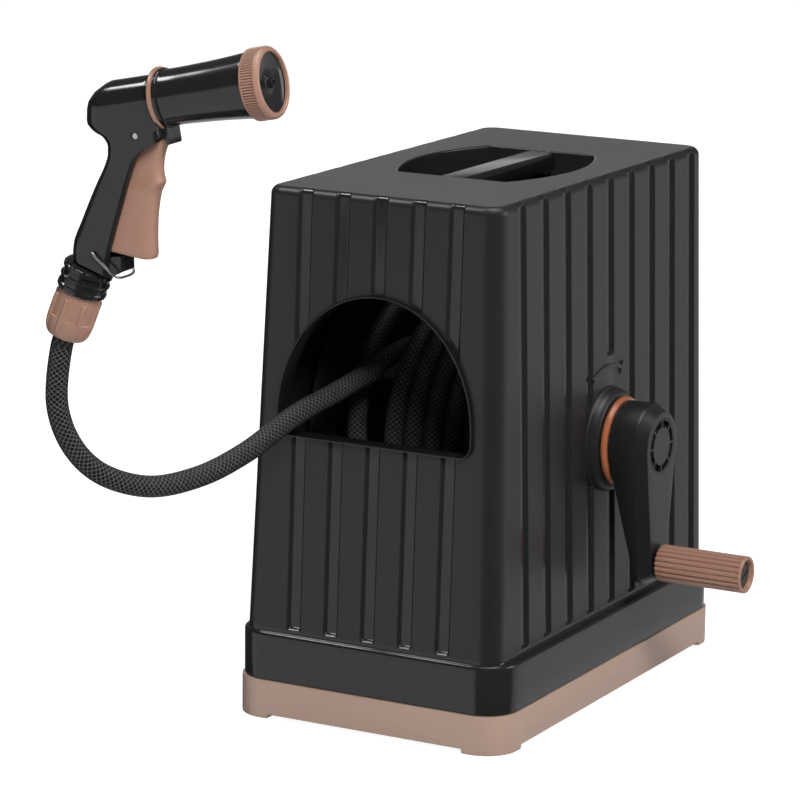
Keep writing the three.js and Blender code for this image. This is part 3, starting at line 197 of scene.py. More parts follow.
def skin(name, points, around=True, along=False, ends=False, uv=None, shine=None):
    """A mesh over a grid of points: each cell is one face, the last column meets the first
    where it goes around, the last row the first where it goes along, and ends are capped."""
    rows, columns = points.shape[:2]
    number = np.arange(rows * columns).reshape(rows, columns)
    if around:
        number = np.hstack([number, number[:, :1]])
    if along:
        number = np.vstack([number, number[:1]])
    corners = np.stack([number[:-1, :-1], number[:-1, 1:], number[1:, 1:], number[1:, :-1]], -1)
    faces = corners.reshape(-1, 4)
    flat = points.reshape(-1, 3)
    caps = [number[0, :columns][::-1], number[-1, :columns]] if ends else []
    if volume_of(flat - flat.mean(0), faces) < 0:
        faces = faces[:, ::-1]
        caps = [cap[::-1] for cap in caps]
    mesh = bpy.data.meshes.new(name)
    mesh.from_pydata(in_frame(flat), [], faces.tolist() + [cap.tolist() for cap in caps])
    if uv is not None:
        across, down = uv
        grid = np.stack(np.meshgrid(across, down), -1)
        cells = np.stack([grid[:-1, :-1], grid[:-1, 1:], grid[1:, 1:], grid[1:, :-1]], -2)
        loops = np.zeros((len(mesh.loops), 2))
        loops[:cells.size // 2] = cells.reshape(-1, 2)
        mesh.uv_layers.new(name="UVMap").data.foreach_set("uv", loops.ravel())
    if shine is not None:
        mesh.attributes.new("shine", "FLOAT", "POINT").data.foreach_set("value", np.ravel(shine))
    piece = bpy.data.objects.new(name, mesh)
    bpy.context.scene.collection.objects.link(piece)
    return piece


def cut(piece, cutters, operation="DIFFERENCE"):
    """Cuts the cutters out of a piece, or joins them to it, and clears them away."""
    for cutter in cutters:
        boolean = piece.modifiers.new("cut", "BOOLEAN")
        boolean.operation, boolean.solver, boolean.object = operation, "EXACT", cutter
    seen = bpy.context.evaluated_depsgraph_get()
    result = bpy.data.meshes.new_from_object(piece.evaluated_get(seen))
    piece.modifiers.clear()
    piece.data = result
    for cutter in cutters:
        bpy.data.objects.remove(cutter)
    return piece


def fitted(piece, body, material, slot, *nodes, sharp=35):
    """Gives a piece its finish and smooth faces, and its place on a body of the frame."""
    piece.data.materials.clear()
    piece.data.materials.append(material)
    piece.data.shade_smooth()
    piece.data.set_sharp_from_angle(angle=math.radians(sharp))
    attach(piece, body)
    if nodes:
        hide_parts(*nodes)
    return piece


def finished(material, *nodes):
    """Puts a finish on CAD nodes that are shown as they are."""
    for node in nodes:
        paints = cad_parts[node].data.materials
        paints.clear()
        paints.append(material)


def arc(centre_x, centre_y, radius_x, radius_y, start, end, steps):
    """Points of an arc of an ellipse between two angles in degrees."""
    angle = np.radians(np.linspace(start, end, steps))
    return np.stack([centre_x + radius_x * np.cos(angle), centre_y + radius_y * np.sin(angle)], -1)


def tray_outline(inset, steps=14):
    """The tray's plan, moved in: four arcs of the corner radius joined by straight sides."""
    x, y, r = TRAY_HALF_X - TRAY_CORNER, TRAY_HALF_Y - TRAY_CORNER, TRAY_CORNER - inset
    return np.concatenate([arc(sx * x, sy * y, r, r, start, start + 90, steps)
                           for sx, sy, start in [(1, -1, -90), (1, 1, 0), (-1, 1, 90), (-1, -1, 180)]])


def raised(outlines, axis=2):
    """Rings in space, from pairs of a flat outline and its place on the axis left over."""
    return np.stack([np.insert(plan, axis, place, axis=1) for plan, place in outlines])


def circle(x, y, radius, steps):
    """An arc of the whole turn, less its last step."""
    return arc(x, y, radius, radius, 0, 360 * (1 - 1 / steps), steps)


def upright_rod(name, x, y, radius, low, high):
    """A circle at two heights."""
    plan = circle(x, y, radius, 32)
    return skin(name, raised([(plan, low), (plan, high)]), ends=True)


# The tray's bronze is the same bronze plastic as the grip, trigger and nut, painted paler and greyer: painted light
# and sheen for the brightly lit tray.
tray_bronze_painted_light = moulded("tray_bronze_painted_light", (0.275, 0.183, 0.142, 1), (0.335, 0.232, 0.185, 1), 0.34, 0.1, IOR=1.7)
tray = skin("tray", raised([(tray_outline(inset), z) for inset, z in [
    (tray_edge, FOOT_HEIGHT), (0.2, FOOT_HEIGHT + 0.2), (0, FOOT_HEIGHT + tray_edge),
    (0, TRAY_TOP - tray_edge), (0.2, TRAY_TOP - 0.2), (tray_edge, TRAY_TOP),
    (tray_lip_outer, TRAY_TOP), (tray_lip_outer, tray_lip_top),
    (tray_lip_inner, tray_lip_top), (tray_lip_inner, tray_floor)]]), ends=True)
for sx, sy in [(1, -1), (1, 1), (-1, 1), (-1, -1)]:
    outer = arc(TRAY_HALF_X - TRAY_CORNER, TRAY_HALF_Y - TRAY_CORNER, TRAY_CORNER, TRAY_CORNER, 0, 90, 14)
    inner_x, inner_y = TRAY_HALF_X - FOOT_LENGTH, TRAY_HALF_Y - FOOT_LENGTH
    plan = np.vstack([outer, [inner_x, TRAY_HALF_Y], [inner_x, inner_y], [TRAY_HALF_X, inner_y]])
    middle = plan.mean(0)
    levels = [(middle + (plan - middle) * foot_taper, 0), (plan, tray_edge), (plan, FOOT_HEIGHT + tray_edge)]
    foot = skin("foot", raised([(p * [sx, sy], z) for p, z in levels]), ends=True)
    x, y = sx * (TRAY_HALF_X - post_inset), sy * (TRAY_HALF_Y - post_inset)
    cut(tray, [foot, upright_rod("post", x, y, post_radius, FOOT_HEIGHT + 1, post_top)], "UNION")
    cut(tray, [upright_rod("bore", x, y, post_bore, -1, post_bore_top),
               upright_rod("hole", x, y, post_screw_hole, -1, post_top + 1)])
fitted(tray, "box", tray_bronze_painted_light, "bronze_plastic", "base_tray")


# Cover: one deep shell moulded in grained charcoal plastic. Its skirt stands on the tray, and
# four walls lean in above it, pressed with upright grooves. It drops over the reel from above.
SKIRT_HALF_X, SKIRT_HALF_Y, SKIRT_CORNER = 108, 178, 25
COVER_BOTTOM, WALL_BOTTOM, COVER_TOP = 28.3, 67, 380
WALL_THICKNESS, WALL_CORNER, TOP_ROUND = 4, 14, 6
low_half, low_front, low_back = 101.2, 175, 172.5
side_lean, front_lean, back_lean = 8.9, 13.2, 2.1
WELL_FRONT, WELL_BACK = -59, 82
well_end_half, well_bulge, well_bottom, well_wall = 43, 81, 360, 3
groove_depth, groove_foot, groove_foot_ramp, side_middle = 2.3, 67, 1.8, 8
blank_low, blank_high, blank_ramp, blank_half = 150, 252, 2.4, 7
REEL_Y, REEL_Z = 4, 189


def eased(share, soft=0.22):
    """A ramp from 0 to 1 whose two ends are rounded off over a soft share of its length."""
    s = np.clip(share, 0, 1)
    ramp = np.where(s < soft, s * s / (2 * soft), s - soft / 2)
    ramp = np.where(s > 1 - soft, 1 - soft - (1 - s) ** 2 / (2 * soft), ramp)
    return ramp / (1 - soft)


def lean(z):
    """The share of the way up from the walls' foot to their top."""
    return (z - WALL_BOTTOM) / (COVER_TOP - WALL_BOTTOM)


def half_width(z):
    """The side wall's distance from the middle: less the side lean by the share up."""
    return low_half - side_lean * lean(z)


def front_face(z):
    """The front wall's place: its low place and the front lean by the share up."""
    return front_lean * lean(z) - low_front


def grooves(half, bevel, pitch, count, middle):
    """Places across a wall, close together over each groove's two bevels, and the share of
    the groove's depth at each place."""
    shares = np.array([-0.3, 0, 0.08, 0.16, 0.26, 0.38, 0.5, 0.62, 0.74, 0.84, 0.92, 1, 1.3])
    off = half - bevel * shares
    centres = middle + (np.arange(count) - (count - 1) / 2) * pitch
    stations = np.sort((centres[:, None] + np.hstack([off, -off])).ravel())
    away = np.abs(stations[:, None] - centres).min(1)
    return stations, eased((half - away) / bevel, 0.4)


def rounded_in(z, radius):
    """How far a face has turned in at a height, on a quarter circle that ends at the top."""
    turn = np.clip((z - COVER_TOP + radius) / radius, 0, 1)
    return radius * (1 - np.sqrt(1 - turn ** 2))


front_stations, front_depth = grooves(half=6.1, bevel=2.6, pitch=29.6, count=5, middle=0.3)
side_stations, side_depth = grooves(half=6.2, bevel=1.9, pitch=34.4, count=9, middle=side_middle)
blank_column = np.abs(side_stations - side_middle) < blank_half
corner_turn = np.linspace(0, 90, 13)[1:-1]


def cover_rings(z, half, front, back, corner, grooved):
    """One level rounded rectangle a row, in columns that stay with the grooves: each wall's
    ends move with its corners, and grooves are pushed in by their share of the depth."""
    rows = len(z)
    z, half, front, back, corner = (v[:, None] for v in (z, half, front, back, corner))
    floor = groove_depth + rounded_in(z, TOP_ROUND - groove_depth) - rounded_in(z, TOP_ROUND)
    pressed_in = eased((z - groove_foot) / groove_foot_ramp) * floor * grooved
    front_share, side_share = pressed_in * front_depth, pressed_in * side_depth
    blank = eased((z - blank_low) / blank_ramp) * eased((blank_high - z) / blank_ramp)
    side_share = side_share * (1 - blank * blank_column)
    none = np.zeros((rows, 1))

    def wall(stations, low, high):
        """The same places across a wall in every row, between its two moving ends."""
        return np.hstack([low, np.broadcast_to(stations, (rows, len(stations))), high])

    def padded(share):
        """Depths across a wall, with none at its two ends."""
        return np.hstack([none, share, none])

    def corner_arc(x, y, start):
        """A quarter circle of each row's corner radius about its centre."""
        turn = np.radians(start + corner_turn)
        return x + corner * np.cos(turn), y + corner * np.sin(turn)

    left_end, right_end = corner - half, half - corner
    front_end, back_end = front + corner, back - corner
    front_x = wall(front_stations, left_end, right_end)
    side_y = wall(side_stations, front_end, back_end)
    side_x = half - padded(side_share)
    parts = [
        (front_x, front + padded(front_share)), corner_arc(right_end, front_end, -90),
        (side_x, side_y), corner_arc(right_end, back_end, 0),
        (front_x[:, ::-1], (back - padded(front_share))[:, ::-1]), corner_arc(left_end, back_end, 90),
        (-side_x[:, ::-1], side_y[:, ::-1]), corner_arc(left_end, front_end, 180),
    ]
    x, y = (np.hstack([part[axis] for part in parts]) for axis in (0, 1))
    return np.stack([x, y, np.broadcast_to(z, x.shape)], -1)


def outer_levels():
    """Heights, blend from skirt to wall, and how far each level is drawn in."""
    skirt = [(COVER_BOTTOM, 0, 0.4), (COVER_BOTTOM + 0.15, 0, 0.12), (COVER_BOTTOM + 0.5, 0, 0), (44, 0, 0),
             (58, 0, 0), (60.2, 0, 0), (61.2, 0, 0.12), (62, 0, 0.45), (62.6, 0, 0.95), (62.9, 0, 1.5)]
    ledge = [(63.05, 0.1, 1.75), (63.2, 0.3, 1.5), (63.4, 0.55, 1.05), (63.8, 0.78, 0.55), (64.6, 0.92, 0.2),
             (65.8, 0.98, 0.05), (67, 1, 0)]
    heights = np.unique(np.round(np.concatenate([
        np.arange(67.8, 70, 0.3), np.arange(80, 371, 14), np.arange(blank_low - 0.3, blank_low + 3, 0.45),
        np.arange(blank_high - 2.8, blank_high + 0.5, 0.45), [373.2]]), 2))
    turn = np.radians(np.linspace(0, 90, 22))
    rounding = [(COVER_TOP + TOP_ROUND * (math.sin(a) - 1), 1, TOP_ROUND * (1 - math.cos(a))) for a in turn]
    return np.array(skirt + ledge + [(z, 1, 0) for z in heights] + rounding + [(COVER_TOP, 1, TOP_ROUND + 0.5)])


def blended_rings(levels, inset, grooved):
    """Cover rings for rows of height, blend from the skirt's plan to the walls', and draw-in."""
    z, blend, drawn = levels.T
    drawn = drawn + inset
    half = SKIRT_HALF_X + (half_width(z) - SKIRT_HALF_X) * blend - drawn
    front = -SKIRT_HALF_Y + (front_face(z) + SKIRT_HALF_Y) * blend + drawn
    back = SKIRT_HALF_Y + (low_back - back_lean * lean(z) - SKIRT_HALF_Y) * blend - drawn
    corner = SKIRT_CORNER + (WALL_CORNER - SKIRT_CORNER) * blend - drawn
    return cover_rings(z, half, front, back, corner, grooved)


def well_radius(angle, margin):
    """How far the well's edge is from its middle at an angle: straight ends, and sides that
    follow a parabola through the ends and the bulge."""
    t = np.linspace(0, 1, 60)[:, None]
    front, back, end = WELL_FRONT - margin, WELL_BACK + margin, well_end_half + margin
    middle = (front + back) / 2
    bulge = [well_bulge + margin, middle]
    side = (1 - t) ** 2 * [end, front] + 2 * t * (1 - t) * bulge + t ** 2 * [end, back]
    across = np.linspace(end, -end, 40)[1:-1]
    edge = np.vstack([side, np.column_stack([across, np.full(38, back)]), side[::-1] * [-1, 1],
                      np.column_stack([-across, np.full(38, front)])]) - [0, middle]
    return np.interp(angle, np.arctan2(edge[:, 1], edge[:, 0]), np.hypot(*edge.T), period=2 * math.pi)


def well_ring(like, margin, z):
    """The well's edge at a height, in the same columns as a ring of the cover."""
    middle = (WELL_FRONT + WELL_BACK) / 2
    angle = np.arctan2(like[:, 1] - middle, like[:, 0])
    radius = well_radius(angle, margin)
    return np.column_stack([radius * np.cos(angle), middle + radius * np.sin(angle), np.full(len(angle), z)])


levels = outer_levels()
outside = blended_rings(levels, 0, 1)
inner_levels = np.array([(COVER_TOP - WALL_THICKNESS, 1, 0), (360, 1, 0), (250, 1, 0), (120, 1, 0),
                         (70, 1, 0), (66, 1, 0), (61, 0, 0), (50, 0, 0), (COVER_BOTTOM, 0, 0)])
inside = blended_rings(inner_levels, WALL_THICKNESS, 0)
# The well's edge is rounded where it leaves the flat top, then its wall goes down and back up.
well = np.stack([well_ring(outside[-1], margin, z) for margin, z in [
    (9, COVER_TOP), (2, COVER_TOP), (1.1, COVER_TOP), (0.7, COVER_TOP - 0.06), (0.35, COVER_TOP - 0.27),
    (0.1, COVER_TOP - 0.62), (0, COVER_TOP - 1.1), (0, COVER_TOP - 1.6),
    (0, well_bottom), (well_wall, well_bottom), (well_wall, COVER_TOP - WALL_THICKNESS)]])
columns = outside.shape[1]
pressed = np.concatenate([[0], front_depth, [0], corner_turn * 0, [0], side_depth, [0], corner_turn * 0] * 2)
height = levels[:, :1]
polish = np.maximum(height < WALL_BOTTOM - 0.5, np.minimum(pressed * 1.5, 1) * (height < COVER_TOP))
flat_rows = 3
polish = np.vstack([polish, np.zeros((flat_rows, columns)),
                    np.ones((len(well) + len(inside) - flat_rows, columns))])
cover = skin("cover", np.concatenate([outside, well, inside]), along=True, shine=polish)
charcoal = moulded("charcoal_plastic", (0.0095, 0.0096, 0.01, 1), (0.0145, 0.0146, 0.015, 1), 0.34, 0.2,
                   polished=0.22, IOR=1.5)


# Window: an arched opening for the hose in the front wall. A separate smooth rim is moulded
# through it, so that the hose slides over a rounded edge on its way out.
WINDOW_HALF, WINDOW_CENTRE, WINDOW_SILL = 75.5, 1, 207.5
window_corner, window_shoulder, window_rise = 8, 13.5, 89
rim_wall, rim_proud, rim_inside = 1.7, 3, 12
front_tilt = math.atan(front_lean / (COVER_TOP - WALL_BOTTOM))


def window_outline(margin):
    """Places across and up the front wall: a flat sill, two corner arcs and half an ellipse."""
    half, corner, rise = WINDOW_HALF + margin, window_corner + margin, window_shoulder + margin
    return np.vstack([
        np.column_stack([np.linspace(-half + corner, half - corner, 26)[:-1], np.full(25, -margin)]),
        arc(half - corner, corner - margin, corner, corner, -90, 0, 12),
        arc(0, rise, half, window_rise, 0, 180, 110),
        arc(corner - half, corner - margin, corner, corner, 180, 270, 12)[:-1],
    ])


def on_front(plan, depth):
    """Lays an outline on the leaning front wall at its sill, a depth inward from its face."""
    across, up = plan.T
    sin, cos = math.sin(front_tilt), math.cos(front_tilt)
    y = front_face(WINDOW_SILL) + up * sin + depth * cos
    return np.column_stack([WINDOW_CENTRE + across, y, WINDOW_SILL + up * cos - depth * sin])


cut(cover, [skin("opening", np.stack([on_front(window_outline(0.9), depth) for depth in (-6, 14)]), ends=True)])
window_rim = skin("window_rim", np.stack([on_front(window_outline(margin), depth) for margin, depth in [
    (0, rim_inside), (0, 0.6 - rim_proud), (0.15, 0.2 - rim_proud), (0.45, -rim_proud), (rim_wall - 0.45, -rim_proud),
    (rim_wall - 0.12, 0.2 - rim_proud), (rim_wall, 0.6 - rim_proud), (rim_wall, rim_inside)]]), along=True)
gloss = moulded("gloss_black", (0.005, 0.0051, 0.0054, 1), (0.009, 0.0091, 0.0095, 1), 0.11, 0.015, IOR=1.5)
fitted(window_rim, "box", gloss, "gloss_black")


# Collars: a smooth domed ring stands on each side wall around the reel's bearing. The crank
# runs in one and the water inlet in the other.
collar_bore, collar_foot, collar_rim = 26, 37.5, 33
collar_start, COLLAR_END = 92.5, 105.6
wall_face = half_width(REEL_Z)


def lathed(profile, steps, radial):
    """Turns a profile of places along an axis and radii. Gives the places, and how far each
    point is from the axis both ways. A function of the angle may add to the radius."""
    along, radius = np.array(profile, float).T
    angle = np.arange(steps) / steps * 2 * math.pi
    radii = radius[:, None] + radial(angle)
    return np.broadcast_to(along[:, None], radii.shape), radii * np.cos(angle), radii * np.sin(angle)


def turned(name, profile, y=REEL_Y, z=REEL_Z, steps=96, radial=np.zeros_like, **ends):
    """A profile turned about an axis along X."""
    x, out, up = lathed(profile, steps, radial)
    return skin(name, np.stack([x, y + out, z + up], -1), **ends)


def side_rod(name, radius, start, end, y=REEL_Y, z=REEL_Z, steps=48):
    """A circle at two places along X."""
    return turned(name, [(start, radius), (end, radius)], y, z, steps, ends=True)


dome = arc(wall_face, collar_rim, COLLAR_END - wall_face, collar_foot - collar_rim, 80, 14, 12)
collar_profile = np.vstack([
    [(collar_start, collar_bore), (collar_start, collar_foot), (wall_face - 1, collar_foot + 1.4),
     (wall_face + 0.1, collar_foot + 1.2), (wall_face + 0.6, collar_foot + 0.2)],
    dome, [(COLLAR_END, collar_rim - 0.4), (COLLAR_END, collar_bore + 0.8),
           (COLLAR_END - 0.2, collar_bore + 0.2), (COLLAR_END - 0.8, collar_bore)]])
for name, side in [("crank_collar", 1), ("inlet_collar", -1)]:
    cut(cover, [side_rod("opening", collar_foot - 1, side * (collar_start - 4), side * (COLLAR_END + 2))])
    fitted(turned(name, collar_profile * [side, 1], along=True), "box", charcoal, "gloss_black")
fitted(cover, "box", charcoal, "black_plastic", "cover_shell", sharp=38)


# Arrow: a plain curved arrow raised on the wall over the crank, which shows the way to wind.
ARROW_RADIUS, arrow_width, arrow_proud, arrow_head_half = 53.3, 3, 1.1, 5
arrow_tail, arrow_neck, arrow_tip = 118, 67.5, 60.5


def arrow_ring(grown, out):
    """The arrow's outline about the reel's axis, grown and stood off the leaning wall: an arc
    of a band, two barbs and a tip."""
    half = arrow_width / 2 + grown
    neck, tail, tip = np.radians([arrow_neck, arrow_tail + grown, arrow_tip - 1.6 * grown])
    sweep = np.linspace(tail, neck, 24)
    angle = np.concatenate([sweep, [neck + 0.01, tip, neck + 0.01], sweep[::-1]])
    barb = arrow_head_half + grown
    radius = ARROW_RADIUS + np.concatenate([np.full(24, half), [barb, -0.4, -barb], np.full(24, -half)])
    y, z = REEL_Y + radius * np.cos(angle), REEL_Z + radius * np.sin(angle)
    return np.column_stack([half_width(z) + out, y, z])


arrow_rows = [arrow_ring(0.15, -0.6), arrow_ring(0.15, 0.2), arrow_ring(-0.1, arrow_proud)]
fitted(skin("winding_arrow", np.stack(arrow_rows), ends=True), "box", charcoal, "black_plastic", sharp=25)


# Carrying handle: a thick rounded bar across the well, moulded in smooth black plastic and
# held by one screw through each end wall.
handle_top, handle_height = COVER_TOP - 0.6, 17
handle_half, handle_flat, handle_foot, handle_shoulder = 12, 8, 4.8, 0.35 * handle_height


def curve(first, bend, last, steps):
    """A parabola from a first point to a last one, pulled towards a bend."""
    t = np.linspace(0, 1, steps)[:-1, None]
    return (1 - t) ** 2 * first + 2 * t * (1 - t) * bend + t ** 2 * last


def handle_section(inset):
    """Half widths and heights of the bar's section: four parabolas between flats."""
    half, flat, foot = handle_half - inset, handle_flat - inset * 0.5, handle_foot - inset * 0.5
    top, bottom = handle_top - inset, handle_top - handle_height + inset
    shoulder = handle_top - handle_shoulder
    p = [np.array(v, float) for v in [(foot, bottom), (half, bottom), (half, shoulder), (half, top), (flat, top)]]
    right = np.vstack([curve(p[0], p[1], p[2], 10), curve(p[2], p[3], p[4], 10), [p[4]]])
    return np.vstack([right, right[::-1] * [-1, 1]])


handle = skin("carrying_handle", raised([(handle_section(inset), y) for y, inset in [
    (WELL_FRONT + 0.3, 0.8), (WELL_FRONT + 0.6, 0.2), (WELL_FRONT + 1.3, 0),
    (WELL_BACK - 1.3, 0), (WELL_BACK - 0.6, 0.2), (WELL_BACK - 0.3, 0.8)]], axis=1), ends=True)
fitted(handle, "box", gloss, "black_plastic", "carry_handle")


# Screws: zinc-plated steel, four under the tray, two in the handle, three in the drum and one
# in the crank. Their solids are shown as they are, with a brushed metal finish.
def plated(name, colour, dull, roughness):
    """Plated metal: fine brushing in the gloss and a faint cloud in the colour."""
    material, shader, points = new_finish(name, Metallic=1.0)
    cloud = points.noise(90, 3)
    brushing = points.node("Mapping", {}, {"Vector": points, "Scale": (1, 1, 14)}).noise(700)
    feed(shader["Base Color"], cloud.mixed(colour, dull))
    feed(shader["Roughness"], roughness + brushing * 0.12)
    feed(shader["Normal"], brushing.bumped(0.0001, 0.08))
    return material


steel = plated("plated_steel", (0.74, 0.73, 0.7, 1), (0.56, 0.55, 0.53, 1), 0.2)
finished(steel, *[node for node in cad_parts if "screw" in node])


# Bearings and water way: a bush in each collar carries the reel, the axle brings the water into
# the drum, and the inlet takes a snap-on hose end. A rubber ring seals the turning joint.
INLET_END = -140
inlet_profile = [
    (-110, 12.3), (-106.1, 12.3), (-106.1, 23.4), (-106.4, 23.8), (-106.9, 24), (-109.4, 24), (-109.9, 23.8),
    (-110.1, 23.2), (-110.1, 19.4), (-110.6, 19), (-122.6, 19), (-123.6, 18.6), (-124, 17.8), (-124, 9.6),
    (-124.4, 8.8), (-125, 8.6), (-128.4, 8.6), (-129, 8.2), (-129.2, 7.2), (-129.8, 6.8), (-132.2, 6.8),
    (-132.8, 7.2), (-133, 8.2), (-133.6, 8.6), (-138.6, 8.5), (-139.6, 7.9), (INLET_END, 7), (INLET_END, 5.6),
    (-139.4, 5.1), (-138, 5), (-118.3, 5), (-118.3, 12.3)]
inlet_rib_count, inlet_rib_depth = 16, 0.55
ribbed = np.array([12 < r < 22 and -123 < x < -110.4 for x, r in inlet_profile])[:, None]


def inlet_ribs(angle):
    """Shallow finger ribs: the depth times one less the root of a cosine."""
    return -inlet_rib_depth * ribbed * (1 - np.abs(np.cos(inlet_rib_count / 2 * angle)) ** 0.5)


inlet = turned("water_inlet", inlet_profile, steps=128, radial=inlet_ribs, along=True)
fitted(inlet, "box", gloss, "black_plastic", "inlet_fitting")
rubber_material, rubber_shader, rubber_points = new_finish("seal_rubber", Roughness=0.8)
feed(rubber_shader["Base Color"], rubber_points.noise(600).mixed((0.008, 0.008, 0.008, 1), (0.018, 0.018, 0.018, 1)))
feed(rubber_shader["Normal"], rubber_points.noise(2000).bumped(0.0001, 0.3))
finished(rubber_material, "inlet_seal")
finished(charcoal, "crank_bush", "inlet_bush", "crank_shaft", "water_axle", "drum_left", "drum_right")


# Hose: a half-inch garden hose. Under its clear skin a grey yarn is braided in diamonds over
# black. The winding on the reel is one tube in an upper layer over a lower one.
HOSE_RADIUS, hose_gap = 7.5, 0.3
lead_place = np.array([-42, -90.44, 243.04])
lead_angle, lead_drift = math.radians(118), -0.06
braid_strands, braid_step = 11, 0.0036
HOSE_BLACK, YARN = (0.006, 0.006, 0.0063, 1), (0.082, 0.081, 0.079, 1)


def braided_hose():
    """Two families of yarn that wind opposite ways: each is a stripe of the fraction of the turns around plus or
    minus the steps along, and where they cross the colour is lighter and the bump higher."""
    material, shader, points = new_finish("braided_hose", Specular_IOR_Level=0.3)
    uv = points.other("UV")
    split = uv.node("SeparateXYZ", {}, {"Vector": uv})
    around = split * braid_strands
    along = split.other("Y") * (1 / braid_step)
    yarns = []
    for way in (1, -1):
        yarns.append(((around + along * way).math("FRACT") - 0.5).math("ABSOLUTE"))
    stripes = [1 - yarn.clipped(0.05, 0.13) for yarn in yarns]
    braid = stripes[0].math("MAXIMUM", stripes[1])
    crossing = stripes[0] * stripes[1]
    uneven = points.noise(160, 3)
    feed(shader["Base Color"], (braid * (0.45 + uneven * 0.75) + crossing * 0.25).mixed(HOSE_BLACK, YARN))
    feed(shader["Roughness"], 0.56 + uneven * 0.12 - braid * 0.06)
    feed(shader["Normal"], (braid + crossing * 0.4).bumped(0.0002, 0.35))
    return material


def tube(name, line, radius, sides, radial):
    """A round tube along a line. Its rings stand square to the line's direction, turned so
    that one side stays towards the given direction, or the directions along it."""
    ahead = np.gradient(line, axis=0)
    ahead /= np.linalg.norm(ahead, axis=1, keepdims=True)
    across = np.cross(ahead, radial)
    across /= np.linalg.norm(across, axis=1, keepdims=True)
    up = np.cross(across, ahead)
    angle = np.arange(sides) / sides * 2 * math.pi
    turn = np.cos(angle)[:, None] * up[:, None] + np.sin(angle)[:, None] * across[:, None]
    rings = line[:, None] + radius * turn
    walked = np.concatenate([[0], np.cumsum(np.linalg.norm(np.diff(line, axis=0), axis=1))]) * MM
    return skin(name, rings, ends=True, uv=(np.linspace(0, 1, sides + 1), walked))


def smooth_line(points, steps):
    """A centripetal curve through points of any number of values: each span is a cubic whose
    ends follow the neighbouring points, by the square roots of their distances."""
    points = np.asarray(points, float)
    ends = np.vstack([2 * points[0] - points[1], points, 2 * points[-1] - points[-2]])
    a, b, c, d = (ends[k:len(ends) - 3 + k, None] for k in range(4))
    step = np.maximum(np.linalg.norm(np.diff(ends, axis=0), axis=1) ** 0.5, 1e-6)
    ab, bc, cd = (step[k:len(step) - 2 + k, None, None] for k in range(3))
    leave = bc * ((b - a) / ab - (c - a) / (ab + bc) + (c - b) / bc)
    arrive = bc * ((c - b) / bc - (d - b) / (bc + cd) + (d - c) / cd)
    t = np.linspace(0, 1, steps + 1)[:-1][None, :, None]
    spans = (b + leave * t + (3 * (c - b) - 2 * leave - arrive) * t ** 2
             + (2 * (b - c) + leave + arrive) * t ** 3)
    return np.vstack([spans.reshape(-1, points.shape[1]), points[-1:]])


def wound(radius, angle, x):
    """Points of a winding about the reel's axis, and their directions away from it."""
    away = np.column_stack([np.zeros(len(angle)), np.cos(angle), np.sin(angle)])
    return np.column_stack([x, radius * away[:, 1] + REEL_Y, radius * away[:, 2] + REEL_Z]), away


hose_finish = braided_hose()
# Turns from the top of the reel, backwards from the lead: place along the reel and radius.
wound_keys = [(0, -40.5, 57), (0.12, -41, 57.5), (0.28, -43, 62), (0.5, -50, 80), (0.75, -58, 92), (0.98, -58, 92),
              (1.3, -45, 92), (1.75, -28, 92), (2.75, -12, 92), (3.75, 4, 92), (4.75, 20, 92), (5.75, 36, 92),
              (6.75, 52, 92), (7.75, 68, 92), (8, 71, 92)]
turns, coil_x, coil_radius = smooth_line(np.array(wound_keys) * [100, 1, 1], 40).T
coil, coil_away = wound(coil_radius, math.radians(90) - turns / 100 * 2 * math.pi, coil_x)
lead_direction = np.array([lead_drift, -math.sin(lead_angle), math.cos(lead_angle)])
lead_direction /= np.linalg.norm(lead_direction)
lead_keys = np.vstack([lead_place - lead_direction * [[0], [9]],
                       [(-41.9, -72, 247.6), (-41.5, -48, 249.5), (-41, -22, 248.5)], coil[:1]])
lead_run = smooth_line(lead_keys, 14)[:-1]
coil_line = np.vstack([lead_run, coil])
coil_radial = np.vstack([np.broadcast_to([0, 0, 1.0], lead_run.shape), coil_away])
winding = tube("hose_on_reel", coil_line, HOSE_RADIUS, 24, coil_radial)
fitted(winding, "reel", hose_finish, "hose_rubber", "hose_winding", sharp=60)

under_radius, under_turns, under_start, under_end = 76.9, 6, -22, 71.6
left = np.linspace(0, 1, under_turns * 64 + 1)
under_x = under_start + (under_end - under_start) * left
under, under_away = wound(under_radius, left * under_turns * 2 * math.pi, under_x)
lower_layer = tube("hose_lower_layer", under, HOSE_RADIUS, 20, under_away)
fitted(lower_layer, "reel", hose_finish, "hose_rubber", "hose_core", sharp=60)


# Trim ring and crank: a bronze ring closes the collar, and the black crank arm is pushed on the
# shaft's square end over it. A slotted cap hides the crank's screw.
CRANK_BACK, CRANK_SHOULDER, CRANK_FACE = 111.2, 132, 140
ARM_LENGTH, arm_end_back = 85.5, 126
room_radius, room_floor, socket_radius, socket_floor, pin_hole = 16.5, 129, 12.3, 126, 4.3
hub_radius, arm_end_radius = 30, 17
GRIP_Z = REEL_Z - ARM_LENGTH
cap_radius, cap_slot_out, cap_slot_in, cap_spoke, cap_depth = 19.8, 18.6, 13.7, 1.3, 4

ring_edge = arc(0, 0, 2.2, 2.2, 180, 90, 8)
ring_profile = np.vstack([[(106.1, 12.4)], ring_edge + [108.3, 30.3], ring_edge[::-1] * [-1, 1] + [108.8, 30.3],
                          [(111, 12.4)]])
bright_bronze = moulded("bright_bronze", (0.23, 0.07, 0.03, 1), (0.3, 0.105, 0.05, 1), 0.2, 0.02,
                        IOR=1.6, Coat_Weight=0.5, Coat_Roughness=0.08)
fitted(turned("trim_ring", ring_profile, along=True), "reel", bright_bronze, "bronze_plastic", "crank_ring")


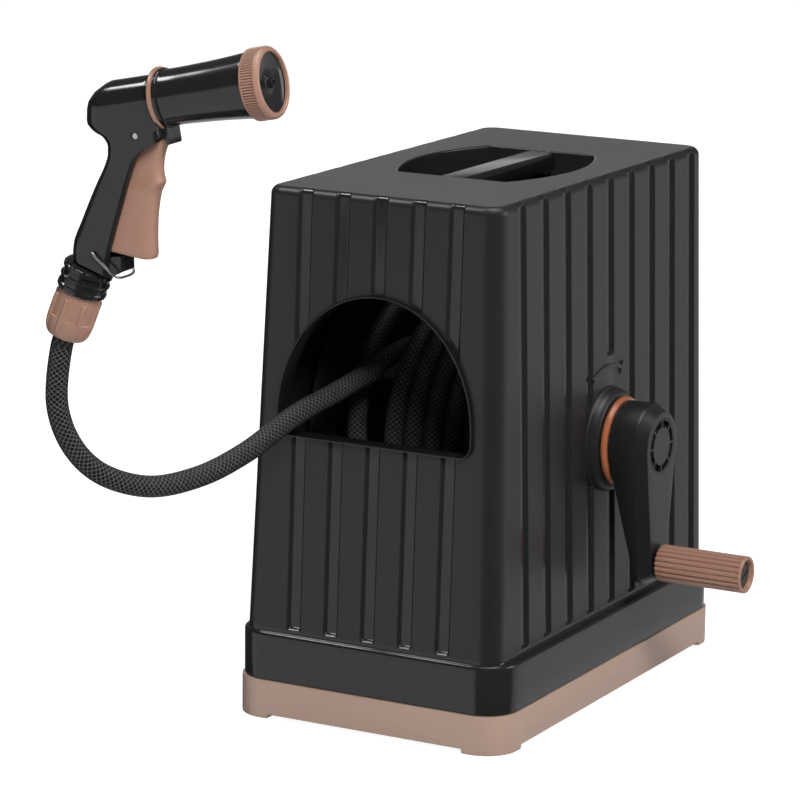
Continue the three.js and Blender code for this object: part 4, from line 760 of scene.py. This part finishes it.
def arm_outline(hub, end, steps=46):
    """The hull of two circles, the hub's above and the end's below: two arcs that meet their
    common tangents, with the share of the way from the hub to the end at each point."""
    tip = math.degrees(math.asin((hub - end) / ARM_LENGTH))
    top = arc(REEL_Y, REEL_Z, hub, hub, -tip, 180 + tip, steps)
    bottom = arc(REEL_Y, GRIP_Z, end, end, 180 + tip, 360 - tip, steps // 2)
    share = np.linspace(0, 1, 16)[1:-1, None]
    outline = np.vstack([top, top[-1] + (bottom[0] - top[-1]) * share,
                         bottom, bottom[-1] + (top[0] - bottom[-1]) * share])
    down = np.concatenate([np.zeros(len(top)), share[:, 0], np.ones(len(bottom)), 1 - share[:, 0]])
    return outline, down


def arm_ring(hub, end, face):
    """The arm's outline on a face: a number, or back for the face that slopes to the end."""
    outline, down = arm_outline(hub, end)
    x = face if face is not None else CRANK_BACK + (arm_end_back - CRANK_BACK) * down
    return np.column_stack([np.broadcast_to(x, len(outline)), outline])


arm_rows = [arm_ring(hub_radius - out, arm_end_radius - out, None) + [ahead, 0, 0]
            for out, ahead in [(0.9, 0), (0.25, 0.25), (0, 0.9)]]
end_share = 0.85
arm_rows += [arm_ring(hub_radius - out, arm_end_radius - out * end_share, x) for out, x in [
    (0, CRANK_SHOULDER - 1), (0.08, CRANK_SHOULDER - 0.4), (0.4, CRANK_SHOULDER + 0.2), (0.95, CRANK_SHOULDER + 1),
    (5, CRANK_FACE - 0.8), (5.35, CRANK_FACE - 0.25), (5.8, CRANK_FACE - 0.05), (6.5, CRANK_FACE)]]
arm = skin("crank_arm_cover", np.stack(arm_rows), ends=True)
cut(arm, [side_rod("seat", cap_radius + 0.3, CRANK_FACE - cap_depth, CRANK_FACE + 1, steps=96),
          side_rod("room", room_radius, room_floor, CRANK_FACE + 1),
          side_rod("socket", socket_radius, CRANK_BACK - 1, socket_floor),
          side_rod("hole", pin_hole, CRANK_BACK, CRANK_FACE + 1, z=GRIP_Z)])
crank_black = moulded("crank_black", (0.0075, 0.0076, 0.008, 1), (0.0135, 0.0137, 0.0142, 1), 0.3, 0.05, IOR=1.5)
fitted(arm, "reel", crank_black, "gloss_black", "crank_arm", sharp=28)

cap = turned("crank_cap", [(CRANK_FACE - cap_depth + 0.3, cap_radius - 0.2), (CRANK_FACE - 0.4, cap_radius),
                           (CRANK_FACE - 0.1, cap_radius - 0.1), (CRANK_FACE, cap_radius - 0.4)], ends=True)
slots = []
for middle in np.arange(22.5, 360, 45):
    plan = np.vstack([arc(REEL_Y, REEL_Z, r, r, middle - side * turn, middle + side * turn, 9) for r, side, turn in [
        (cap_slot_out, 1, 22.5 - math.degrees(cap_spoke / 2 / cap_slot_out)),
        (cap_slot_in, -1, 22.5 - math.degrees(cap_spoke / 2 / cap_slot_in))]])
    slots.append(skin("slot", raised([(plan, CRANK_FACE - 3), (plan, CRANK_FACE + 1)], axis=0), ends=True))
cut(cap, slots)
fitted(cap, "reel", crank_black, "gloss_black", "hub_cap", sharp=28)


# Grip: a fluted bronze sleeve that turns on a black pin. The pin's slotted head sits down in the
# grip's end and holds it on.
GRIP_START, GRIP_END, grip_radius = 142, 209.3, 13.4
flute_count, flute_depth = 20, 1.35
recess_radius, recess_floor, grip_bore = 10.6, 198.8, 4.4
pin_head_radius, pin_head_start, pin_head_end = 9.9, 199.1, 207.2
grip_profile = np.array([
    (GRIP_START, 4.6), (GRIP_START, 12.4), (GRIP_START + 0.25, 12.9), (GRIP_START + 0.8, 13.2),
    (GRIP_START + 1.6, grip_radius), (150, grip_radius), (175, grip_radius), (200, grip_radius),
    (206.2, grip_radius), (206.8, grip_radius), (207.4, grip_radius), (208, grip_radius), (208.6, 13.3),
    (209.1, 12.9), (GRIP_END, 12.2), (GRIP_END, 11.5), (209.1, 10.9), (208.7, recess_radius),
    (recess_floor, recess_radius), (recess_floor, grip_bore), (GRIP_START + 0.4, grip_bore)])
fluting = ((grip_profile[:, 1] > 12.3) * np.clip((207.7 - grip_profile[:, 0]) / 1.2, 0, 1))[:, None]
bronze = moulded("bronze_plastic", (0.225, 0.116, 0.08, 1), (0.285, 0.162, 0.118, 1), 0.34, 0.1, IOR=1.7)


def grip_flutes(angle):
    """Twenty narrow grooves between round ridges: the depth times one less a root of a sine."""
    return -flute_depth * fluting * (1 - np.abs(np.sin(flute_count / 2 * angle)) ** 0.7)


grip = turned("crank_grip_sleeve", grip_profile, z=GRIP_Z, steps=flute_count * 14, radial=grip_flutes, along=True)
fitted(grip, "grip", bronze, "bronze_plastic", "crank_grip", sharp=40)
pin = turned("grip_pin_cap", [
    (126.3, 3.6), (126.5, 4), (140.3, 4), (140.3, 7), (141.7, 7), (141.7, 4), (pin_head_start, 4),
    (pin_head_start, 9.2), (pin_head_start + 0.4, pin_head_radius), (pin_head_end - 1.6, pin_head_radius),
    (pin_head_end - 0.9, 9.2), (pin_head_end - 0.35, 8), (pin_head_end - 0.08, 5), (pin_head_end, 1)],
    z=GRIP_Z, steps=64, ends=True)
slot_turn, slot_half, slot_reach = math.radians(28), 0.7, 5.2
slot_way = np.array([math.cos(slot_turn), math.sin(slot_turn)]) * slot_reach
slot_side = np.array([-math.sin(slot_turn), math.cos(slot_turn)]) * slot_half
slot_plan = [REEL_Y, GRIP_Z] + np.array([-slot_way - slot_side, slot_way - slot_side,
                                         slot_way + slot_side, slot_side - slot_way])
cut(pin, [skin("slot", raised([(slot_plan, pin_head_end - 1.3), (slot_plan, pin_head_end + 1)], axis=0), ends=True)])
fitted(pin, "reel", crank_black, "gloss_black", "grip_pin", sharp=30)


# Spray gun body: glossy black plastic in one smooth form, a round shell over a flat-sided handle.
# The trigger swings in a slot in its front, and a hose end is screwed into its foot.
GUN_PIN = np.array([-72.3, -346.6, 441.5])
GUN_REACH = 88
gun_yaw, gun_pitch = math.radians(4.7), math.radians(11.4)
BARREL_AXIS, SHELL_RADIUS, SHELL_FRONT = 20.6, 16.5, 15.2
gun_x = heading(gun_yaw, gun_pitch)
gun_y = heading(gun_yaw + math.pi / 2, 0)
gun_z = np.cross(gun_x, gun_y)


def in_gun(points):
    """Points in the gun's own frame, X along its barrel and Z up, moved to where it hangs."""
    return np.asarray(points, float) @ np.stack([gun_x, gun_y, gun_z]) + GUN_PIN


def gun_sections(keys, power=2):
    """Closed sections across the gun. Each key holds the back and front points of the side
    view, the half thickness, and how long the roundings are at the back and the front. These
    are quarters of an oval of a power, which is an ellipse for a power of 2."""
    back, front = keys[:, 0:2], keys[:, 2:4]
    half, back_round, front_round = keys[:, 4:5], keys[:, 5:6], keys[:, 6:7]
    length = np.linalg.norm(front - back, axis=1, keepdims=True)
    turn = np.radians(np.linspace(0, 90, 13))
    nose_out, nose_in = np.sin(turn) ** (2 / power), 1 - np.cos(turn) ** (2 / power)
    flat = np.linspace(0, 1, 9)[1:-1]
    place = np.hstack([back_round * nose_in, back_round + (length - back_round - front_round) * flat,
                       length - front_round * nose_in[::-1]])
    out = half * np.concatenate([nose_out, np.ones(len(flat)), nose_out[::-1]])
    point = back[:, None] + (front - back)[:, None] * (place / length)[:, :, None]
    right = np.stack([point[..., 0], -out, point[..., 1]], -1)
    left_side = right[:, 1:-1][:, ::-1] * [1, -1, 1]
    return np.concatenate([right, left_side], axis=1)


def gun_skin(name, sections, **ends):
    """A skin over rings in the gun's own frame."""
    return skin(name, in_gun(sections), **ends)


def across_gun(name, plan, half):
    """An outline of the side view drawn straight out to both sides."""
    return gun_skin(name, raised([(plan, -half), (plan, half)], axis=1), ends=True)


def side_prism(name, shares, half):
    """An outline of the side view in shares of the gun's reach, drawn out to both sides."""
    return across_gun(name, np.array(shares) * GUN_REACH, half)


def cross_rod(name, radius, half, x, z):
    """A circle of the side view drawn out to both sides."""
    return across_gun(name, circle(x, z, radius, 32), half)


def gun_keys(shares):
    """Keys for sections: places in shares of the gun's reach, then three lengths as they are."""
    return np.array(shares) * ([GUN_REACH] * 4 + [1] * 3)


shell_turn = np.radians(np.linspace(86, 2, 20))
shell_z = BARREL_AXIS + SHELL_RADIUS * np.sin(shell_turn)
shell_back = np.interp(shell_z, [12, 18.2, 26.4, 31.7, 36, 37.2], [-38.3, -38, -34.4, -29, -20.6, -16])
shell_keys = np.column_stack([
    shell_back, shell_z, np.full(20, SHELL_FRONT), shell_z, SHELL_RADIUS * np.cos(shell_turn),
    np.linspace(5, 15, 20), np.full(20, 0.6)])
handle_shares = [
    (-0.435, 0.165, 0.1727, 0.165, 16.3, 15, 0.6), (-0.43, 0.128, 0.178, 0.12, 16.2, 14, 0.7),
    (-0.385, 0.07, 0.203, 0.075, 15.9, 12.5, 0.9), (-0.325, 0.025, 0.205, 0.01, 15.5, 11.5, 1.2),
    (-0.298, -0.03, 0.2, -0.042, 15.1, 11, 1.6), (-0.303, -0.082, 0.155, -0.078, 14.8, 10.5, 1.6),
    (-0.32, -0.135, 0.045, -0.108, 14.5, 10.5, 1.6), (-0.366, -0.208, -0.027, -0.164, 14.2, 10.5, 1.6),
    (-0.445, -0.305, -0.118, -0.309, 14, 10.5, 1.6), (-0.527, -0.413, -0.215, -0.488, 13.8, 10.5, 1.6),
    (-0.632, -0.563, -0.318, -0.682, 13.6, 10.5, 1.6), (-0.72, -0.69, -0.395, -0.84, 13.5, 10.5, 2.4),
    (-0.752, -0.776, -0.435, -0.945, 13.5, 11, 3), (-0.76, -0.822, -0.443, -1.01, 13.5, 12, 4)]
keys = np.vstack([shell_keys, smooth_line(gun_keys(handle_shares), 6)])
gun_body = gun_skin("gun_grip", gun_sections(keys), ends=True)

foot_outline = [(-0.47, -0.93), (-0.405, -0.865), (-0.34, -0.87), (-0.331, -0.88), (-0.35, -0.982),
                (-0.36, -0.99), (-0.47, -0.99)]
slot_outline = [(0.4, -0.01), (0.4, -0.96), (-0.3, -0.905), (-0.45, -0.86), (-0.57, -0.79), (-0.625, -0.715),
                (-0.622, -0.67), (-0.545, -0.575), (-0.385, -0.385), (-0.33, -0.3), (-0.12, -0.1), (-0.09, 0.02),
                (-0.05, 0.085), (0.05, 0.085), (0.12, 0.03)]
wire_eye, eye_radius = (-0.522 * GUN_REACH, -0.811 * GUN_REACH), 1.3
foot_half, trigger_room, lug_half, pivot_hole, far_out = 9.5, 9.9, 8.5, 2.5, 30
foot_block = side_prism("foot", foot_outline, foot_half)
cut(gun_body, [side_prism("slot", slot_outline, trigger_room), cross_rod("eye", eye_radius, far_out, *wire_eye),
               cross_rod("hole", pivot_hole, far_out, 0, 0)])
gun_gloss = moulded("gun_gloss", (0.0085, 0.0086, 0.009, 1), (0.0135, 0.0137, 0.0142, 1), 0.09, 0.01, IOR=1.53)
fitted(gun_body, "box", gun_gloss, "gloss_black", "gun_body", sharp=40)
fitted(foot_block, "box", gun_gloss, "gloss_black", sharp=30)


# Barrel: a black tube that flares to the dial, with a thin bronze ring behind it. The spray dial
# is a knurled bronze ring around a dished black face with one nozzle in its middle.
def on_barrel(name, profile, steps=96, radial=np.zeros_like, **ends):
    """A profile turned about the barrel's axis."""
    x, out, up = lathed(profile, steps, radial)
    return gun_skin(name, np.stack([x, out, BARREL_AXIS + up], -1), **ends)


barrel_curve = smooth_line([(22.6, 18.5), (33, 18.55), (44, 18.95), (58, 19.6), (72, 20.6), (84.5, 21.7)], 8)
barrel = on_barrel("gun_tube", np.vstack([
    [(3, 8), (3, 10.7), (19.3, 10.7), (19.3, 19.1), (19.6, 19.5), (21.6, 19.6), (22, 19.3), (22.1, 18.7)],
    barrel_curve, [(93, 21), (93, 15), (23, 15), (22, 8)]]), along=True)
lug_outline = [(0.165, 0.05), (0.165, -0.036), (0.21, -0.049), (0.213, -0.088), (0.219, -0.1), (0.227, -0.104),
               (0.235, -0.1), (0.241, -0.088), (0.244, 0.05)]
lug = side_prism("trigger_lug", lug_outline, lug_half)
fitted(barrel, "box", gun_gloss, "gloss_black", "gun_barrel", sharp=32)
fitted(lug, "box", gun_gloss, "gloss_black", sharp=32)
thin_profile = [(16.4, 11), (16.4, 20.2), (16.6, 20.6), (17, 20.7), (18.4, 20.7), (18.8, 20.6), (19, 20.2), (19, 11)]
fitted(on_barrel("thin_ring", thin_profile, along=True), "box", bronze, "bronze_plastic", "barrel_ring")

knurl_count, knurl_depth = 80, 1.05
dial_profile = np.array([
    (84.6, 21.2), (84.6, 22.6), (84.9, 23.1), (85.5, 23.5), (86, 23.6), (86.3, 23.6), (86.8, 23.6), (90, 23.6),
    (94.4, 23.6), (94.9, 23.6), (95.2, 23.6), (96.4, 23.45), (97.4, 22.9), (98.2, 22.1), (98.7, 21.2), (98.8, 20.4),
    (98.5, 19.8), (98, 19.6), (96.3, 19.6), (96.3, 21.2)])
knurled = ((dial_profile[:, 1] > 23.55) & (dial_profile[:, 0] > 86.1) & (dial_profile[:, 0] < 95.1))[:, None]


def knurl(angle):
    """Fine straight knurling: grooves between flat-topped ribs, by a power of a cosine."""
    return -knurl_depth * knurled * (0.5 + 0.5 * np.cos(knurl_count * angle)) ** 1.5


fitted(on_barrel("dial_ring", dial_profile, knurl_count * 8, knurl, along=True), "dial", bronze, "bronze_plastic",
       "spray_dial", sharp=50)
face_profile = [
    (93.4, 2), (93.4, 20.9), (96, 20.9), (96, 19.2), (95.9, 18.9), (95.4, 17.6), (94.9, 15), (94.5, 11), (94.3, 7),
    (94.4, 5.9), (94.9, 5.4), (95.1, 5), (95.2, 4.1), (95.5, 3.8), (97.4, 3.6), (98.2, 3.3), (98.5, 2.9), (98.5, 2),
    (98.2, 1.6), (96, 1.5)]
fitted(on_barrel("dial_face", face_profile, along=True), "dial", gun_gloss, "gloss_black", "spray_face", sharp=30)
finished(steel, "valve_stem")


# Trigger: a bronze lever that swings on a steel pin. Its narrow scalloped neck steps out to a
# broad rounded face for the fingers.
trigger_shares = [
    (-0.05, 0.04, 0.03, 0.05, 6.3, 3, 3), (-0.055, 0, 0.1, -0.01, 6.3, 3, 3),
    (-0.055, -0.04, 0.168, -0.056, 6.2, 3, 4), (-0.075, -0.1, 0.14, -0.11, 6.4, 3, 4.5),
    (-0.11, -0.17, 0.102, -0.175, 7, 3, 5), (-0.15, -0.245, 0.073, -0.255, 7.4, 3, 5),
    (-0.185, -0.31, 0.063, -0.325, 7.8, 3, 5.5), (-0.21, -0.355, 0.065, -0.372, 8.6, 3, 6),
    (-0.235, -0.4, 0.048, -0.4, 9.4, 3, 7.5), (-0.27, -0.46, 0.015, -0.445, 9.5, 3, 8.5),
    (-0.335, -0.575, -0.04, -0.59, 9.5, 3, 9), (-0.395, -0.68, -0.073, -0.72, 9.5, 3, 9),
    (-0.44, -0.765, -0.095, -0.83, 9.5, 3, 9), (-0.452, -0.79, -0.107, -0.9, 9.5, 3, 9),
    (-0.44, -0.81, -0.125, -0.926, 9, 3, 8), (-0.425, -0.818, -0.15, -0.924, 7.6, 2.5, 6)]
finger_face_out = 1.8
trigger_keys = gun_keys(trigger_shares)
trigger_keys[2:, 2] += finger_face_out
trigger = gun_skin("spray_trigger", gun_sections(smooth_line(trigger_keys, 5), 2.3), ends=True)
cut(trigger, [cross_rod("hole", pivot_hole, far_out, 0, 0)])
fitted(trigger, "trigger", bronze, "bronze_plastic", "trigger", sharp=38)
pivot_ends = [(-14.2, 1.9), (-13.9, 2.15), (13.9, 2.15), (14.2, 1.9)]
pivot = gun_skin("pivot_pin", raised([(circle(0, 0, radius, 48), y) for y, radius in pivot_ends], axis=1), ends=True)
pale_steel = plated("pale_steel", (0.9, 0.86, 0.78, 1), (0.8, 0.76, 0.69, 1), 0.3)
fitted(pivot, "box", pale_steel, "steel", "trigger_pin", sharp=30)

wire_out = 15
wire_half = np.array([
    (-0.522, 0.72, -0.811), (-0.522, 1, -0.811), (-0.458, 1, -0.899), (-0.405, 0.98, -0.97), (-0.385, 0.9, -1),
    (-0.374, 0.72, -1.02), (-0.37, 0.45, -1.028), (-0.37, 0.15, -1.03)]) * [GUN_REACH, -wire_out, GUN_REACH]
wire_line = smooth_line(np.vstack([wire_half, wire_half[::-1] * [1, -1, 1]]), 8)
wire = tube("locking_wire", in_gun(wire_line), 0.9, 14, gun_x * 0.6 + gun_z)
fitted(wire, "latch", steel, "steel", "latch_wire", sharp=60)


# Adaptor and nut: a ribbed black adaptor is screwed into the gun's foot, and the bronze nut
# clamps the hose on its other end. Bold ribs give the fingers a hold.
TAIL_START = np.array([-57.7, -79.9])
tail_way = np.array([-0.54, -0.842]) / math.hypot(0.54, 0.842)
NUT_START, NUT_END = 19.4, 52


def on_tail(name, profile, steps=96, radial=np.zeros_like, **ends):
    """A profile turned about the tail's axis."""
    along, out, across = lathed(profile, steps, radial)
    plane = TAIL_START + along[..., None] * tail_way + out[..., None] * [-tail_way[1], tail_way[0]]
    return gun_skin(name, np.stack([plane[..., 0], across, plane[..., 1]], -1), **ends)


adaptor_profile = np.array([
    (-13, 4.5), (-13, 7), (0, 7), (0, 14.8), (0.3, 15.6), (0.8, 15.9), (1.4, 16), (1.8, 16.6), (2.2, 17), (4.6, 17),
    (5, 16.7), (5.3, 16), (5.6, 15.1), (9, 15.1), (9.2, 16.2), (9.5, 16.8), (9.8, 17), (11, 17), (11.4, 16.6),
    (11.6, 16.2), (15, 16.2), (15.4, 16.6), (15.8, 16.9), (18, 16.9), (18.6, 16.7), (19, 16.2), (19, 12), (33, 12),
    (33, 4.5)])
notch_count, notch_depth = 10, 0.9
notched = adaptor_profile[:, 1:] > 16.4


def adaptor_notches(angle):
    """Shallow notches across the bands, where a cosine of the angle is near its top."""
    return -notch_depth * notched * eased((np.cos(notch_count * angle) - 0.8) / 0.16)


fitted(on_tail("hose_adaptor_body", adaptor_profile, 160, adaptor_notches, along=True), "box", gun_gloss,
       "gloss_black", "hose_adaptor", sharp=32)
nut_profile = np.array([
    (NUT_START, 12.3), (NUT_START, 14.4), (NUT_START + 0.4, 14.8), (22, 14.9), (23.4, 14.9), (23.7, 14.95), (24, 15),
    (24.4, 15.05), (25, 15.1), (30, 15.2), (38, 15.3), (38.4, 15.7), (38.9, 15.9), (42, 15.85), (45.4, 15.5),
    (47, 15.1), (49.5, 14.3), (51.2, 13.6), (51.8, 13.1), (NUT_END, 12.5), (NUT_END, 8.2), (51.6, 7.9), (51, 7.7),
    (33.3, 5.5), (33.3, 12.3)])
rib_count, rib_reach, rib_half, rib_round = 8, 16, 2.3, 1.3
rib_top = np.interp(nut_profile[:, 0], [23.4, 24, 25, 38, 43, 47, 49.5, 51.2],
                    [14.9, 16.2, 16.8, 16.8, 16.6, 15.8, 14.7, 13.6])
rib_rise = (np.maximum(0, rib_top - nut_profile[:, 1]) * (nut_profile[:, 1] > 13.3))[:, None]


def nut_ribs(angle):
    """Bold ribs with round tops that stand up to one radius: the way across a rib is the
    angle from its middle times the radius."""
    share = np.abs((angle * rib_count / (2 * math.pi) + 0.5) % 1 - 0.5)
    across = share * 2 * math.pi / rib_count * rib_reach
    return rib_rise * eased((rib_half - across) / rib_round)


fitted(on_tail("hose_nut_sleeve", nut_profile, 256, nut_ribs, along=True), "box", bronze, "bronze_plastic",
       "hose_nut", sharp=40)


# Free hose: it leaves the top of the reel, comes out over the window's sill, hangs in a low bow
# and rises to the nut under the gun. It is the same braided hose as the winding.
hose_route = [
    (-44.6, -106, 238.2), (-50.3, -134, 231.5), (-60, -172, 222), (-71.5, -221, 203.5), (-84, -262, 193.5),
    (-101, -300, 192.5), (-120, -330, 206), (-132.5, -344, 226), (-139.5, -350.5, 254)]


def nut_mouth(beyond):
    """The middle of the nut's end, a little further along the tail."""
    x, z = TAIL_START + tail_way * (NUT_END + beyond)
    return in_gun([(x, 0, z)])[0]


free_points = np.vstack([
    lead_place + lead_direction * hose_gap, lead_place + lead_direction * (hose_gap + HOSE_RADIUS),
    hose_route, nut_mouth(HOSE_RADIUS), nut_mouth(hose_gap)])
free_line = smooth_line(free_points, 16)
free_hose = tube("free_hose", free_line, HOSE_RADIUS, 36, [0.3, 0.2, 1])
fitted(free_hose, "box", hose_finish, "hose_rubber", "hose_free", sharp=60)


# Studio: a white floor and background with soft lamps above and to the side.
floor_mesh = bpy.data.meshes.new("floor")
floor_mesh.from_pydata([(-6, -6, 0), (6, -6, 0), (6, 6, 0), (-6, 6, 0)], [], [(0, 1, 2, 3)])
floor = bpy.data.objects.new("floor", floor_mesh)
bpy.context.scene.collection.objects.link(floor)
floor_paint = bpy.data.materials.new("floor_paint")
floor_paint.use_nodes = True
floor_tree = floor_paint.node_tree
paint = floor_tree.nodes["Principled BSDF"].inputs
paint["Base Color"].default_value = (0.85, 0.85, 0.85, 1)
paint["Roughness"].default_value = 0.9
paint["Specular IOR Level"].default_value = 0.1
rays = Signal(floor_tree.nodes.new("ShaderNodeLightPath").outputs["Is Camera Ray"])
glow = rays.node("Emission", {}, {"Color": (1, 1, 1, 1), "Strength": 1.34})
sheet = Signal(floor_tree.nodes["Principled BSDF"].outputs[0])
seen = rays.node("MixShader", {}, {0: rays * 0.7, 1: sheet, 2: glow})
clear = rays.node("BsdfTransparent", {}, {})
paper = rays.node("MixShader", {}, {0: rays.other("Is Glossy Ray"), 1: seen, 2: clear})
feed(floor_tree.nodes["Material Output"].inputs["Surface"], paper)
floor_mesh.materials.append(floor_paint)

# What the glossy plastic mirrors: a bright table all round below the horizon, but for a dark
# wedge on the camera's side of the crank and one at the far left, and a dim wall with one
# window behind.
world = bpy.data.worlds.new("studio")
bpy.context.scene.world = world
world.use_nodes = True
sky = world.node_tree
rays = Signal(sky.nodes.new("ShaderNodeLightPath").outputs["Is Camera Ray"])
background = sky.nodes["Background"].inputs
white_seen = rays.math("MAXIMUM", rays.other("Is Transmission Ray"))
way = rays.node("SeparateXYZ", {}, {"Vector": Signal(sky.nodes.new("ShaderNodeTexCoord").outputs["Generated"])})
east, north, up = way, way.other("Y"), way.other("Z")


def wedge(start, end):
    """1 for directions between two bearings in degrees, from the front towards the crank."""
    start, end = math.radians(start), math.radians(end)
    past_start = (east * math.cos(start) + north * math.sin(start)).clipped(-0.03, 0.03)
    before_end = (east * -math.cos(end) + north * -math.sin(end)).clipped(-0.03, 0.03)
    return past_start * before_end


lit_table = (1 - wedge(-8, 121)) * (1 - wedge(-140, -72)) * (0.72 - east.clipped(-0.1, 0.3) * 0.24)
table = lit_table * (1 - up.clipped(-0.03, 0.06))
wall = north.clipped(0.05, 0.4) * up.clipped(-0.06, 0.12) * (1 - up.clipped(0.65, 0.85)) * 0.07
beyond_top = toward_camera * [-1, -1, 1]
toward_window = east * beyond_top[0] + north * beyond_top[1] + up * beyond_top[2]
mirrored = table + wall + toward_window.clipped(0.982, 0.993) * 0.6 + 0.035
glossy_ray = rays.other("Is Glossy Ray")
room = glossy_ray * mirrored + (1 - glossy_ray) * 0.24
background["Color"].default_value = (1, 1, 1, 1)
feed(background["Strength"], white_seen + (1 - white_seen) * room)


def soft_lamp(name, place, aim, size, power):
    """A square lamp turned towards a point, with its right side level."""
    lamp = bpy.data.lights.new(name, "AREA")
    lamp.size, lamp.energy = size, power
    back, right = np.subtract(place, aim), np.cross([0, 0, 1], np.subtract(place, aim))
    return stood(name, lamp, place, back / np.linalg.norm(back), right / np.linalg.norm(right))


soft_lamp("key", (1250, -1450, 1950), (0, -60, 220), 0.8, 84).visible_glossy = False
soft_lamp("right", (2100, 900, 1000), (0, 0, 200), 1.2, 13)
soft_lamp("top", (350, -100, 2200), (0, 0, 300), 1.2, 22).visible_diffuse = False
soft_lamp("back", (-1500, 1700, 1500), (0, 0, 200), 1.2, 45).visible_glossy = False
soft_lamp("left", (-1080, -506, 2000), (0, -100, 200), 0.5, 13).visible_diffuse = False
